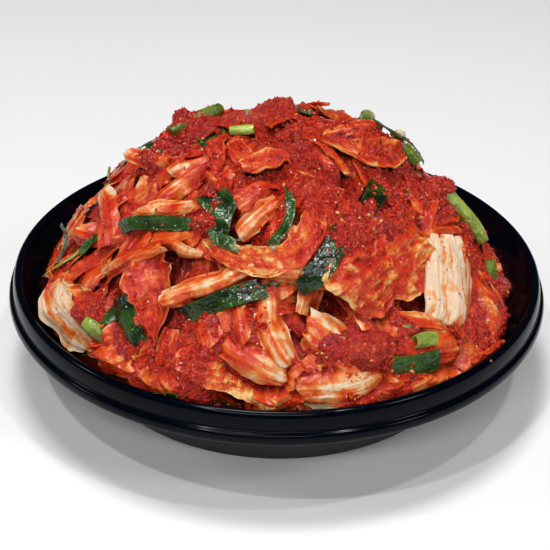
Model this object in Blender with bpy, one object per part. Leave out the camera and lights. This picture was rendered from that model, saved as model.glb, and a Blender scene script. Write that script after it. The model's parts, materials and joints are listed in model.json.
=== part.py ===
"""Kimchi heaped high in a round black bowl.

The bowl is a turned solid. The heap is one closed solid that fills the bowl and rises out of it with an
uneven, lumpy outline. The large cabbage pieces and spring onions that lie on top are solids of their own,
each draped over whatever lies under it.

Lengths are in millimetres until the meshes are written, in metres, with +Z up and the bowl standing on z = 0.
A direction on the heap is (azimuth, elevation) in degrees, seen from HEAP_CENTRE: azimuth 0 is the front,
-Y, and 90 is the right, +X; elevation 90 is the top of the heap.
"""

import math
import random
from dataclasses import dataclass

import bmesh
import bpy
import numpy as np
from mathutils import Matrix, Vector
from mathutils.bvhtree import BVHTree

MM = 0.001
GAP = 0.35  # clear space between pieces that touch
LAY_GAP = 0.8  # under a draped piece
SEGMENTS = 60  # round the bowl and the heap

# Bowl
BOWL_HEIGHT = 56.0
SKIRT_RADIUS = 140.0  # the turned-down rim, the widest part
SKIRT_HEIGHT = 6.0
GROOVE_RADIUS = 137.4
GROOVE_HEIGHT = 46.8  # the line between the rim's bead and its skirt
BEAD_RADIUS = 134.4  # the crest of the rim
INNER_RIM_RADIUS = 131.4
INNER_RIM_HEIGHT = 52.0
FLOOR_RADIUS = 96.0
FLOOR_HEIGHT = 3.0
FOOT_RADIUS = 98.0
WALL = 2.9  # measured level, through the sloping wall

# Heap
HEAP_CENTRE = Vector((0.0, 0.0, 46.0))
HEAP_RADIUS = 116.0  # at the sides and the back
HEAP_FRONT_RADIUS = 119.0  # the front fills the bowl nearly to the rim
HEAP_LEAN = 1.5  # it is heaped a little to the left
HEAP_RISE = 84.0  # from HEAP_CENTRE to the top
HEAP_FULLNESS = 1.65  # 2 is an ellipsoid, less is more pointed
CONTACT_HEIGHT = 39.0  # where the food leaves the wall, at the sides and the back
FRONT_CONTACT_HEIGHT = 47.0
HEAP_RINGS = 18


def rim_profile():
    """The bowl's outline as (radius, height), from the middle of the underside, up outside and down inside."""
    wall_top = wall_radius(GROOVE_HEIGHT - 0.3) + WALL
    skirt_bottom = GROOVE_HEIGHT - SKIRT_HEIGHT
    outside = [
        (0.0, 0.0),
        (FOOT_RADIUS, 0.0),
        (FOOT_RADIUS + 3.0, 1.6),
        (FOOT_RADIUS + 5.0, 5.0),
        (wall_radius(25.0) + WALL + 1.4, 25.0),
        (wall_top, GROOVE_HEIGHT - 1.0),
        (GROOVE_RADIUS - 3.4, GROOVE_HEIGHT),
        (GROOVE_RADIUS - 1.6, skirt_bottom + 1.4),
        (SKIRT_RADIUS - 1.7, skirt_bottom),
        (SKIRT_RADIUS - 0.5, skirt_bottom + 0.4),
        (SKIRT_RADIUS, skirt_bottom + 2.4),
        (SKIRT_RADIUS - 0.5, GROOVE_HEIGHT - 0.7),
        (GROOVE_RADIUS + 0.5, GROOVE_HEIGHT),
        (GROOVE_RADIUS, GROOVE_HEIGHT + 0.6),
        (GROOVE_RADIUS + 0.2, GROOVE_HEIGHT + 1.4),
        (GROOVE_RADIUS - 0.3, GROOVE_HEIGHT + 5.0),
        (BEAD_RADIUS + 1.9, BOWL_HEIGHT - 1.3),
        (BEAD_RADIUS + 0.7, BOWL_HEIGHT - 0.2),
    ]
    inside = [
        (BEAD_RADIUS - 0.8, BOWL_HEIGHT - 0.1),
        (BEAD_RADIUS - 2.2, BOWL_HEIGHT - 1.3),
        (INNER_RIM_RADIUS, INNER_RIM_HEIGHT),
    ]
    return outside + inside + inner_profile()[::-1]


def wall_radius(height):
    """The inner wall's radius, a straight slope from the floor to the rim."""
    share = (height - FLOOR_HEIGHT - 5.0) / (INNER_RIM_HEIGHT - FLOOR_HEIGHT - 5.0)
    return FLOOR_RADIUS + 4.5 + share * (INNER_RIM_RADIUS - FLOOR_RADIUS - 4.5)


def inner_profile():
    """The bowl's floor and its corner, from the middle out, below the straight wall."""
    return [
        (0.0, FLOOR_HEIGHT),
        (FLOOR_RADIUS, FLOOR_HEIGHT),
        (FLOOR_RADIUS + 2.6, FLOOR_HEIGHT + 1.6),
        (wall_radius(FLOOR_HEIGHT + 5.0), FLOOR_HEIGHT + 5.0),
    ]


def smooth_step(value, low, high):
    share = min(max((value - low) / (high - low), 0.0), 1.0)
    return share * share * (3.0 - 2.0 * share)


def direction(azimuth, elevation):
    """Unit vector of a direction on the heap, given in degrees."""
    turn, rise = math.radians(azimuth), math.radians(elevation)
    return Vector((math.sin(turn) * math.cos(rise), -math.cos(turn) * math.cos(rise), math.sin(rise)))


# Heap

# Broad swellings of the heap: azimuth, elevation, half length, half width, heading, height.
SWELLINGS = [
    (92.0, 50.0, 22.0, 18.0, 80.0, 10.0),
    (112.0, 22.0, 46.0, 26.0, 60.0, -12.0),
    (-98.0, 30.0, 30.0, 20.0, 60.0, -6.0),
    (-85.0, 46.0, 30.0, 26.0, 60.0, 3.0),
    (150.0, 40.0, 36.0, 24.0, 90.0, 4.0),
    (72.0, 10.0, 34.0, 16.0, 20.0, 6.0),
    (-70.0, 12.0, 28.0, 18.0, 70.0, 4.0),
    (20.0, 30.0, 40.0, 22.0, 90.0, 4.0),
]
LUMP_COUNT = 120
LUMP_SEED = 21


def make_lumps():
    """The folded cabbage that makes the heap uneven: long soft ridges, lying every way, with dips between."""
    chance = random.Random(LUMP_SEED)
    lumps = list(SWELLINGS)
    for number in range(LUMP_COUNT):
        elevation = math.degrees(math.asin(chance.uniform(0.02, 0.98)))
        height = chance.uniform(2.0, 6.0) if number % 3 else -chance.uniform(2.0, 4.0)
        half_width = chance.uniform(7.0, 12.0)
        half_length = half_width * chance.uniform(1.1, 2.8)
        azimuth, heading = chance.uniform(-180.0, 180.0), chance.uniform(0.0, 180.0)
        lumps.append((azimuth, elevation, half_length, half_width, heading, height))
    return [prepare_lump(*lump) for lump in lumps]


def prepare_lump(azimuth, elevation, half_length, half_width, heading, height):
    """A lump's own axes on the heap: along its ridge and across it."""
    out = direction(azimuth, elevation)
    level = Vector((math.cos(math.radians(azimuth)), math.sin(math.radians(azimuth)), 0.0))
    up = out.cross(level)
    turn = math.radians(heading)
    along = level * math.cos(turn) + up * math.sin(turn)
    reach = mound_reach(azimuth, elevation)
    return out, along * reach / half_length, out.cross(along) * reach / half_width, height


def mound_reach(azimuth, elevation):
    """Distance from HEAP_CENTRE to the smooth mound under the lumps."""
    front = smooth_step(math.cos(math.radians(azimuth)), 0.25, 0.85)
    side = HEAP_RADIUS + front * (HEAP_FRONT_RADIUS - HEAP_RADIUS)
    side -= HEAP_LEAN * math.sin(math.radians(azimuth))
    level = math.cos(math.radians(elevation)) / side
    upright = max(math.sin(math.radians(elevation)), 0.0) / HEAP_RISE
    return (level**HEAP_FULLNESS + upright**HEAP_FULLNESS) ** (-1.0 / HEAP_FULLNESS)


def heap_reach(azimuth, elevation, lumps):
    """Distance from HEAP_CENTRE to the uneven surface of the heap."""
    out = direction(azimuth, elevation)
    rise = 0.0
    for centre, along, across, height in lumps:
        away = out - centre
        squared = away.dot(along) ** 2 + away.dot(across) ** 2
        if out.dot(centre) > 0.5 and squared < 6.0:
            rise += height * math.exp(-squared * 1.2)
    rise *= 1.0 - 0.8 * smooth_step(elevation, 62.0, 82.0)
    return mound_reach(azimuth, elevation) + rise


def heap_rings(lumps):
    """The heap's surface as rings of points, from the middle of its underside to its top."""
    inner = inner_profile()
    rings = []
    # The underside lies on the floor and follows the corner and the wall, one gap away.
    for radius, height in ((40.0, FLOOR_HEIGHT + GAP), (inner[1][0] - GAP, FLOOR_HEIGHT + GAP)):
        rings.append([(radius, height)] * SEGMENTS)
    rings.append([(inner[2][0] - GAP, inner[2][1] + 0.2)] * SEGMENTS)
    rings.append([(inner[3][0] - GAP * 1.3, inner[3][1])] * SEGMENTS)
    contact = []
    for step in range(SEGMENTS):
        azimuth = 360.0 * step / SEGMENTS
        front = smooth_step(math.cos(math.radians(azimuth)), 0.25, 0.85)
        height = CONTACT_HEIGHT + front * (FRONT_CONTACT_HEIGHT - CONTACT_HEIGHT)
        height += 1.6 * math.sin(3.0 * math.radians(azimuth) + 1.0) + 1.0 * math.sin(7.0 * math.radians(azimuth))
        contact.append((wall_radius(height) - GAP * 1.4, height))
    rings.append(contact)
    for ring in range(1, HEAP_RINGS):
        share = ring / HEAP_RINGS
        points = []
        for step in range(SEGMENTS):
            azimuth = 360.0 * step / SEGMENTS
            radius, height = contact[step]
            lowest = math.degrees(math.atan2(height - HEAP_CENTRE.z, radius))
            elevation = lowest + share * (90.0 - lowest)
            reach = heap_reach(azimuth, elevation, lumps)
            rise = math.radians(elevation)
            points.append((reach * math.cos(rise), HEAP_CENTRE.z + reach * math.sin(rise)))
        rings.append(points)
    return rings


def turned_points(radius, height, step):
    turn = 2.0 * math.pi * step / SEGMENTS
    return Vector((radius * math.sin(turn), -radius * math.cos(turn), height))


def ring_mesh(rings, bottom, top):
    """A closed mesh through rings of (radius, height), with a point at either end of the axis."""
    mesh = bmesh.new()
    loops = [[mesh.verts.new(turned_points(*ring[step], step)) for step in range(SEGMENTS)] for ring in rings]
    for below, above in zip(loops, loops[1:]):
        for step in range(SEGMENTS):
            after = (step + 1) % SEGMENTS
            mesh.faces.new((below[step], below[after], above[after], above[step]))
    for loop, height, order in ((loops[0], bottom, -1), (loops[-1], top, 1)):
        end = mesh.verts.new((0.0, 0.0, height))
        for step in range(SEGMENTS):
            after = (step + 1) % SEGMENTS
            mesh.faces.new((loop[step], loop[after], end)[::order])
    return mesh


# Pieces lying on the heap


STATION = 8.0  # between the points that shape a piece
RIB_DEPTH = 0.28  # of a ribbed stem's thickness
SAMPLES = (0.0, 0.2, 0.4, 0.6, 0.8, 1.0)  # over a flat face, where it is tested against the pile


class Pile:
    """Everything made so far, to lay the next piece on."""

    def __init__(self):
        self.layers = []

    def add(self, mesh):
        outs = [(corner.co - HEAP_CENTRE).normalized() for corner in mesh.verts]
        middle = sum(outs, Vector()).normalized()
        narrowest = min(out.dot(middle) for out in outs)
        self.layers.append((BVHTree.FromBMesh(mesh), middle, narrowest))

    def reach(self, out):
        """How far out the pile goes in a direction from HEAP_CENTRE."""
        start = HEAP_CENTRE + out * 300.0
        farthest = 0.0
        for tree, middle, narrowest in self.layers:
            hit = tree.ray_cast(start, -out)[0] if out.dot(middle) >= narrowest else None
            if hit is not None:
                farthest = max(farthest, (hit - HEAP_CENTRE).length)
        return farthest


def spine(path, pile):
    """Points along a smooth line through a few directions, on top of the pile, one station apart."""
    knots = [direction(*place) for place in path]
    knots = [2.0 * knots[0] - knots[1]] + knots + [2.0 * knots[-1] - knots[-2]]
    fine = []
    for a, b, c, d in zip(knots, knots[1:], knots[2:], knots[3:]):
        for step in range(24):
            t = step / 24.0
            point = b + 0.5 * t * (c - a + t * (2.0 * a - 5.0 * b + 4.0 * c - d + t * (3.0 * (b - c) + d - a)))
            fine.append(point.normalized())
    fine.append(knots[-2].normalized())
    points = [HEAP_CENTRE + out * pile.reach(out) for out in fine]
    run = [0.0]
    for near, far in zip(points, points[1:]):
        run.append(run[-1] + min((far - near).length, 6.0))
    stations = min(max(round(run[-1] / STATION) + 1, 4), 11)
    marks = np.linspace(0.0, run[-1], stations)
    columns = [np.interp(marks, run, [point[axis] for point in points]) for axis in range(3)]
    return [Vector(values) for values in zip(*columns)]


@dataclass
class Piece:
    """One piece of food on the heap, laid along a path of directions.

    ends is its width at either end as a share of width, rise how far each end lifts off what it lies on,
    crown how much thinner its edges are than its middle, ribs how many ridges run along it, and uneven how
    much its thickness varies.
    """

    name: str
    finish: str
    path: list
    width: float
    thickness: float
    ends: tuple = (0.6, 0.6)
    rise: tuple = (0.0, 0.0)
    crown: float = 0.5
    ribs: int = 0
    uneven: float = 0.0


def lay(pile, piece):
    """A closed solid of one piece, draped over the pile."""
    centres = spine(piece.path, pile)
    stations = len(centres)
    across = min(max(round(piece.width / STATION) + 2, 3), 6)
    lengthwise = np.linspace(0.0, 1.0, stations)
    sideways = np.linspace(-1.0, 1.0, across)
    outs = []
    for index, centre in enumerate(centres):
        along = (centres[min(index + 1, stations - 1)] - centres[max(index - 1, 0)]).normalized()
        side = along.cross((centre - HEAP_CENTRE).normalized()).normalized()
        share = lengthwise[index]
        edge = piece.ends[0] + (piece.ends[1] - piece.ends[0]) * share
        bulge = min(1.0, 1.7 * (1.0 - (2.0 * share - 1.0) ** 2))
        half = piece.width / 2.0 * (edge + (1.0 - edge) * bulge)
        outs.append([(centre + side * half * offset - HEAP_CENTRE).normalized() for offset in sideways])
    reach = clear_reach(pile, outs)
    chance = random.Random(piece.name)
    under, over = [], []
    for index, share in enumerate(lengthwise):
        lift = piece.rise[0] * max(0.0, 1.0 - share / 0.45) ** 2
        lift += piece.rise[1] * max(0.0, 1.0 - (1.0 - share) / 0.45) ** 2
        tip = 0.55 + 0.45 * min(1.0, 6.0 * min(share, 1.0 - share) + 0.3)
        under.append([])
        over.append([])
        for number, offset in enumerate(sideways):
            body = (1.0 - piece.crown * abs(offset) ** 1.6) * tip
            if piece.ribs:
                body *= 1.0 + RIB_DEPTH * math.cos(math.pi * piece.ribs * (offset + 1.0))
            body *= 1.0 + piece.uneven * chance.uniform(-1.0, 1.0)
            low = reach[index][number] + LAY_GAP + lift
            out = outs[index][number]
            under[-1].append(HEAP_CENTRE + out * low)
            over[-1].append(HEAP_CENTRE + out * (low + piece.thickness * body))
    return slab_mesh(under, over)


def clear_reach(pile, outs):
    """The pile's reach under a grid of directions, smoothed and raised until flat faces between them clear it."""
    rows, columns = len(outs), len(outs[0])
    real = np.array([[pile.reach(out) for out in row] for row in outs])
    eased = real.copy()
    for _ in range(2):
        padded = np.pad(eased, 1, mode="edge")
        eased = (padded[:-2, 1:-1] + padded[2:, 1:-1] + padded[1:-1, :-2] + padded[1:-1, 2:] + 2.0 * eased) / 6.0
    reach = np.maximum(real, eased)
    for _ in range(3):
        raised = reach.copy()
        for row in range(rows - 1):
            for column in range(columns - 1):
                corners = [(row, column), (row, column + 1), (row + 1, column), (row + 1, column + 1)]
                points = [outs[i][j] * reach[i, j] for i, j in corners]
                worst = 0.0
                for s in SAMPLES:
                    for t in SAMPLES:
                        shares = ((1 - s) * (1 - t), (1 - s) * t, s * (1 - t), s * t)
                        point = sum((p * share for p, share in zip(points, shares)), Vector())
                        worst = max(worst, pile.reach(point.normalized()) - point.length)
                if worst > 0.0:
                    for i, j in corners:
                        raised[i, j] = max(raised[i, j], reach[i, j] + worst)
        reach = raised
    return reach


def slab_mesh(under, over):
    """A closed mesh between two grids of points."""
    mesh = bmesh.new()
    low = [[mesh.verts.new(point) for point in row] for row in under]
    high = [[mesh.verts.new(point) for point in row] for row in over]
    rows, columns = len(low), len(low[0])
    for i in range(rows - 1):
        for j in range(columns - 1):
            mesh.faces.new((high[i][j], high[i][j + 1], high[i + 1][j + 1], high[i + 1][j]))
            mesh.faces.new((low[i][j], low[i + 1][j], low[i + 1][j + 1], low[i][j + 1]))
    for i in range(rows - 1):
        mesh.faces.new((low[i][0], high[i][0], high[i + 1][0], low[i + 1][0]))
        mesh.faces.new((low[i][-1], low[i + 1][-1], high[i + 1][-1], high[i][-1]))
    for j in range(columns - 1):
        mesh.faces.new((low[0][j], low[0][j + 1], high[0][j + 1], high[0][j]))
        mesh.faces.new((low[-1][j], high[-1][j], high[-1][j + 1], low[-1][j + 1]))
    bmesh.ops.recalc_face_normals(mesh, faces=mesh.faces)
    return mesh


# Materials and objects


def material(name, colour, roughness, metallic=0.0):
    made = bpy.data.materials.new(name)
    made.use_nodes = True
    shader = made.node_tree.nodes["Principled BSDF"]
    shader.inputs["Base Color"].default_value = (*colour, 1.0)
    shader.inputs["Roughness"].default_value = roughness
    shader.inputs["Metallic"].default_value = metallic
    made.diffuse_color = (*colour, 1.0)
    return made


def add_object(name, mesh, finish, smooth=True):
    data = bpy.data.meshes.new(name)
    mesh.transform(Matrix.Scale(MM, 4))
    mesh.to_mesh(data)
    mesh.free()
    made = bpy.data.objects.new(name, data)
    bpy.context.scene.collection.objects.link(made)
    data.materials.append(finish)
    for face in data.polygons:
        face.use_smooth = smooth
    return made


# The pieces, the lowest first, as each lies on those before it. Directions are (azimuth, elevation).
PIECES = [
    Piece("slab_rim_front", "stem", [(4, 7), (13, 6), (23, 7)], 13, 3.5),
    Piece("slab_low_right", "stem", [(27, 11), (36, 8), (45, 6)], 18, 4.5, ends=(0.5, 0.3)),
    Piece("stem_white_left", "stem", [(-64, 12), (-55, 7), (-43, 6)], 19, 5.5, ends=(0.5, 0.4)),
    Piece("slab_front_middle", "stem", [(-13, 14), (-5, 11), (3, 8)], 19, 4.5, ends=(0.4, 0.5)),
    Piece("stem_ribbed_front", "stem", [(6, 19), (12, 14), (17, 10)], 20, 3.5, ribs=2),
    Piece("stem_front_left", "stem", [(-25, 15), (-26, 10), (-24, 6)], 13, 4.0),
    Piece("stem_front_short", "stem", [(-10, 24), (-8, 19), (-6, 15)], 10, 3.5),
    Piece("stem_front_forked", "stem", [(-2, 27), (-2, 18), (4, 11)], 12, 3.2, ends=(0.7, 0.4)),
    Piece("leaf_pointed_left", "leaf", [(-40, 29), (-31, 20), (-30, 10)], 18, 2.8, ends=(0.8, 0.2)),
    Piece("stem_long_front", "stem", [(-29, 20), (-15, 27), (-7, 32), (7, 30), (18, 27)], 12, 4.0, ends=(0.5, 0.6)),
    Piece("leaf_frilly_right", "leaf", [(15, 24), (31, 28), (53, 32)], 34, 3.2, uneven=0.25),
    Piece("slab_white_right", "stem", [(66, 27), (54, 17), (47, 8)], 30, 5.0, ends=(0.8, 0.8), ribs=2),
    Piece("stem_left_upper", "stem", [(-48, 59), (-52, 43), (-50, 22)], 11, 4.0, ends=(0.6, 0.3)),
    Piece("stem_left_lower", "stem", [(-36, 33), (-44, 26), (-52, 18)], 9, 3.5, ends=(0.7, 0.3)),
    Piece("stem_left_middle", "stem", [(-29, 47), (-46, 40), (-59, 30)], 12, 4.0, ends=(0.7, 0.4)),
    Piece("leaf_cream_curled", "leaf", [(-23, 35), (-5, 33), (8, 37), (16, 49)], 16, 2.4, ends=(0.3, 0.6)),
    Piece("stem_short_top", "stem", [(1, 53), (-8, 46), (-14, 39)], 12, 4.0),
    Piece("leaf_orange_top", "leaf", [(-23, 60), (-10, 66), (9, 70)], 10, 3.0),
    Piece("stem_top_right", "stem", [(62, 75), (86, 68), (96, 59)], 12, 4.0, ends=(0.4, 0.8)),
    Piece("stem_jutting_left", "stem", [(-66, 53), (-78, 48), (-86, 42)], 10, 3.5, ends=(0.8, 0.5), rise=(0, 14)),
    Piece("leaf_green_folded_top", "green", [(-85, 47), (-92, 52), (-105, 58)], 13, 2.6),
    Piece("scallion_top_left", "scallion", [(-90, 54), (-102, 62), (-122, 68)], 9, 6.5, ends=(0.8, 0.8), rise=(0, 2)),
    Piece("leaf_green_middle", "green", [(-38, 51), (-26, 48), (-16, 44)], 14, 2.8, rise=(0, 2)),
    Piece("leaf_green_narrow_left", "green", [(-57, 29), (-45, 36), (-29, 40), (-16, 41)], 7, 2.0, ends=(0.6, 0.3)),
    Piece("chive_middle", "green", [(6, 57), (4, 44), (-3, 36)], 5, 2.0, ends=(0.9, 0.8)),
    Piece("leaf_green_small_middle", "green", [(-24, 38), (-11, 36)], 6.5, 1.8),
    Piece("leaf_green_large", "green", [(26, 43), (14, 33), (6, 26)], 11, 2.4),
    Piece("leaf_green_front", "green", [(-3, 27), (-14, 23), (-24, 17)], 9, 2.2, ends=(0.7, 0.4)),
    Piece("leaf_green_two_faced", "green", [(-40, 18), (-36, 11), (-31, 7)], 14, 2.4),
    Piece("scallion_low_left", "scallion", [(-47, 10), (-40, 7)], 8, 4.5, ends=(0.8, 0.6)),
    Piece("scallion_right", "scallion", [(85, 35), (80, 25), (76, 17)], 8.5, 6.0, ends=(0.8, 0.9)),
    Piece("scallion_yellow_top", "scallion", [(-70, 72), (-48, 80)], 6, 4.5, ends=(0.8, 0.8)),
    Piece("scallion_top_right", "scallion", [(86, 52), (82, 44)], 8, 4.5, ends=(0.8, 0.8)),
    Piece("leaf_green_loop_top_right", "green", [(92, 62), (98, 53), (89, 41)], 5.5, 2.0, rise=(0, 0)),
    Piece("stem_white_top_right", "stem", [(100, 52), (108, 45)], 10, 4.0),
    Piece("leaf_flecked_right", "green", [(57, 50), (35, 44)], 11, 2.0),
    Piece("leaf_green_low_right", "green", [(24, 8), (31, 7), (38, 7)], 10, 2.6),
    Piece("leaf_green_standing_left", "green", [(-70, 9), (-74, 14), (-78, 20)], 6, 3.5, rise=(0, 12)),
    Piece("chive_left", "green", [(-66, 16), (-64, 25)], 5, 2.0),
    Piece("scallion_right_wall", "scallion", [(73, 15), (70, 8)], 8, 4.0, ends=(0.8, 0.8)),
    Piece("scallion_bit_right", "scallion", [(31, 12), (38, 11)], 8, 4.0),
    Piece("chunk_red_top", "paste", [(14, 80), (48, 77)], 7, 6.0, ends=(0.7, 0.7)),
    Piece("paste_clump_top", "paste", [(-150, 77), (-178, 74), (152, 77)], 18, 9.0, crown=0.7, uneven=0.3),
    Piece("paste_clump_right", "paste", [(80, 38), (87, 34), (94, 29)], 15, 5.0, crown=0.7, uneven=0.3),
    Piece("paste_clump_low_right", "paste", [(67, 7), (77, 6)], 14, 6.0, crown=0.7, uneven=0.3),
    # The far side, finished like the side that shows.
    Piece("slab_back", "stem", [(172, 20), (158, 26), (146, 34)], 28, 5.0, ends=(0.8, 0.7), ribs=2),
    Piece("stem_back_left", "stem", [(-148, 14), (-138, 26), (-134, 40)], 13, 4.5),
    Piece("stem_back_long", "stem", [(-176, 34), (-160, 42), (-138, 46), (-118, 42)], 12, 4.0),
    Piece("leaf_back_right", "leaf", [(112, 14), (122, 24), (126, 36)], 28, 3.0, uneven=0.25),
    Piece("stem_back_low", "stem", [(-170, 8), (-158, 10), (-146, 9)], 15, 4.5),
    Piece("leaf_green_back", "green", [(178, 48), (170, 58), (150, 64)], 11, 2.4),
    Piece("leaf_green_back_left", "green", [(-112, 24), (-120, 32), (-124, 40)], 9, 2.2),
    Piece("scallion_back", "scallion", [(136, 44), (128, 52), (112, 58)], 8, 5.5, ends=(0.8, 0.8)),
]


def main():
    for old in list(bpy.data.objects):
        bpy.data.objects.remove(old)
    finishes = {
        "bowl": material("bowl_black", (0.012, 0.014, 0.02), 0.18),
        "paste": material("chilli_red", (0.42, 0.025, 0.012), 0.3),
        "stem": material("cabbage_stem", (0.8, 0.42, 0.2), 0.3),
        "leaf": material("cabbage_leaf", (0.78, 0.26, 0.06), 0.35),
        "green": material("onion_leaf", (0.03, 0.09, 0.03), 0.3),
        "scallion": material("onion_stalk", (0.25, 0.45, 0.1), 0.25),
    }
    profile = rim_profile()
    bowl = ring_mesh([[place] * SEGMENTS for place in profile[1:-1]], profile[0][1], profile[-1][1])
    add_object("bowl", bowl, finishes["bowl"])
    lumps = make_lumps()
    heap = ring_mesh(heap_rings(lumps), FLOOR_HEIGHT + GAP, HEAP_CENTRE.z + heap_reach(0.0, 90.0, lumps))
    pile = Pile()
    pile.add(heap)
    add_object("kimchi_heap", heap, finishes["paste"])
    for piece in PIECES:
        mesh = lay(pile, piece)
        pile.add(mesh)
        add_object(piece.name, mesh, finishes[piece.finish])


main()
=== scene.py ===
"""The looks of the kimchi in its bowl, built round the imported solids.

The heap is made of real pieces. A dome map holds how far out the pile reaches in every direction from a
point inside the bowl. Cabbage, leaves and onions are laid on it one by one, each draped over those before
it. The large ones take their routes from the solids that they replace. Then chilli paste is spread over
the pile, thick in the hollows and thin on the crests, and loose flakes and seeds fall on top.

Lengths are in metres, and MM turns millimetres into them. A direction is a unit vector from CENTRE, or
(azimuth, elevation) in degrees: azimuth 0 is the front, -Y, and 90 is the right, +X.
"""

import heapq
import itertools
import json
import math
from dataclasses import dataclass, replace

import bpy
import numpy as np
from mathutils import Matrix, Vector
from mathutils.bvhtree import BVHTree


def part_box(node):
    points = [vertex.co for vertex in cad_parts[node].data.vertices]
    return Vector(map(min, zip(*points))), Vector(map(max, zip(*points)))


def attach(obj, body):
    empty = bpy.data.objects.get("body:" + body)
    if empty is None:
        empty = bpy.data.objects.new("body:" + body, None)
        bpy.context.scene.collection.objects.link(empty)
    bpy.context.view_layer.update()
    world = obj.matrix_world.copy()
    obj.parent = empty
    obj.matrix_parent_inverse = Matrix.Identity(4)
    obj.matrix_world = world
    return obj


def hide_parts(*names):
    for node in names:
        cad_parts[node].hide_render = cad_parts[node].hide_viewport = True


MM = 0.001
UP = np.array([0.0, 0.0, 1.0])

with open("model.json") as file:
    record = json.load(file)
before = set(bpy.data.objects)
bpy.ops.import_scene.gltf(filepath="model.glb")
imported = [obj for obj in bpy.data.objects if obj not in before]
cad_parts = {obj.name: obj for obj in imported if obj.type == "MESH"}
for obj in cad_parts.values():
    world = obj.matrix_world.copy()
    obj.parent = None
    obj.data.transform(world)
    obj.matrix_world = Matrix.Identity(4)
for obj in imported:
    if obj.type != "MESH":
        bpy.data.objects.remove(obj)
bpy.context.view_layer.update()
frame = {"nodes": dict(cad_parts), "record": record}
SLOTS = {part["node"]: part["material_slot"] for part in frame["record"]["subparts"]}

RIM_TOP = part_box("bowl")[1][2]
CENTRE = np.array([0.0, 0.0, RIM_TOP - 10 * MM])


# Noise and other small tools


def lattice(x, y, z, seed):
    """A repeatable number from 0 to 1 for each whole-numbered point."""
    mixed = (x * 374761393 + y * 668265263 + z * 1442695041 + seed * 974634777) & 0xFFFFFFFF
    mixed = ((mixed ^ (mixed >> 13)) * 1274126177) & 0xFFFFFFFF
    mixed = ((mixed ^ (mixed >> 15)) * 668265263) & 0xFFFFFFFF
    return ((mixed ^ (mixed >> 16)) & 0xFFFFFF) / 16777215.0


def noise(points, size, seed=0):
    """Smooth noise from -1 to 1 with features of about the given size."""
    scaled = np.asarray(points) / size
    low = np.floor(scaled).astype(np.int64)
    part = scaled - low
    part = part * part * (3.0 - 2.0 * part)
    total = 0.0
    for corner in itertools.product((0, 1), repeat=3):
        weight = np.prod(np.where(corner, part, 1.0 - part), axis=-1)
        total = total + weight * lattice(*np.moveaxis(low + corner, -1, 0), seed)
    return total * 2.0 - 1.0


def layered(points, size, seed=0, layers=3):
    """Noise with finer layers added, each half the size and strength of the last."""
    return sum(noise(points, size / 2**i, seed + i) / 2**i for i in range(layers)) / (2 - 0.5 ** (layers - 1))


def grains(points, size, seed=0):
    """Distance to the nearest of many scattered points, over size."""
    scaled = np.asarray(points) / size
    low = np.floor(scaled).astype(np.int64)
    nearest = np.full(scaled.shape[:-1], 9.0)
    for shift in itertools.product((-1, 0, 1), repeat=3):
        cell = low + shift
        x, y, z = np.moveaxis(cell, -1, 0)
        spot = cell + np.stack([lattice(x, y, z, seed + 7 * axis) for axis in range(3)], -1)
        nearest = np.minimum(nearest, ((spot - scaled) ** 2).sum(-1))
    return np.sqrt(nearest)


def smooth_step(value, low, high):
    share = np.clip((value - low) / (high - low), 0.0, 1.0)
    return share * share * (3.0 - 2.0 * share)


def unit(vectors):
    return vectors / np.linalg.norm(vectors, axis=-1, keepdims=True)


def direction(azimuth, elevation):
    turn, rise = math.radians(azimuth), math.radians(elevation)
    return np.array([math.sin(turn) * math.cos(rise), -math.cos(turn) * math.cos(rise), math.sin(rise)])


def blur(grid, width, axes=(0, 1)):
    """A grid of values smoothed over a width in cells."""
    if width < 0.05:
        return grid
    reach = int(2.5 * width) + 1
    kernel = np.exp(-0.5 * (np.arange(-reach, reach + 1) / width) ** 2)
    kernel /= kernel.sum()
    for axis in axes:
        edges = [(reach, reach) if i == axis else (0, 0) for i in range(grid.ndim)]
        padded = np.pad(grid, edges, mode="edge")
        length = grid.shape[axis]
        grid = sum(k * np.take(padded, np.arange(i, i + length), axis=axis) for i, k in enumerate(kernel))
    return grid


# The bowl's outline, read from its solid


def bowl_outline():
    """The solid's outline as (radius, height): from the middle of its underside, up outside and down inside."""
    mesh = frame["nodes"]["bowl"].data
    number, places = {}, []
    for index, corner in enumerate(mesh.vertices):
        x, y, z = corner.co
        if abs(x) < 1e-5 and y < 1e-6:
            place = (round(-y, 5), round(z, 5))
            if place not in places:
                places.append(place)
            number[index] = places.index(place)
    links = [set() for _ in places]
    for edge in mesh.edges:
        ends = [number.get(index) for index in edge.vertices]
        if None not in ends and ends[0] != ends[1]:
            links[ends[0]].add(ends[1])
            links[ends[1]].add(ends[0])
    walk = [min(range(len(places)), key=lambda i: places[i][1])]
    while True:
        ahead = [i for i in links[walk[-1]] if i not in walk[-2:]]
        if not ahead:
            break
        walk.append(ahead[0])
    return [(0.0, places[walk[0]][1])] + [places[i] for i in walk] + [(0.0, places[walk[-1]][1])]


OUTLINE = bowl_outline()
CREST = max(range(len(OUTLINE)), key=lambda i: OUTLINE[i][1])
INSIDE = sorted((z, r) for r, z in OUTLINE[CREST:] if r > 50 * MM)


def wall_radius(height):
    return np.interp(height, [z for z, r in INSIDE], [r for z, r in INSIDE])


def inside_bowl(points, gap=0.5 * MM):
    """The points, drawn in where they would pass through the bowl's wall."""
    radius = np.maximum(np.hypot(points[..., 0], points[..., 1]), 1e-6)
    limit = np.where(points[..., 2] < RIM_TOP + 0.5 * MM, wall_radius(points[..., 2]) - gap, np.inf)
    share = np.minimum(1.0, limit / radius)
    return points * np.stack([share, share, np.ones_like(share)], -1)


# The dome map

CELLS = 470
CELL = math.radians(202.0) / CELLS


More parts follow.
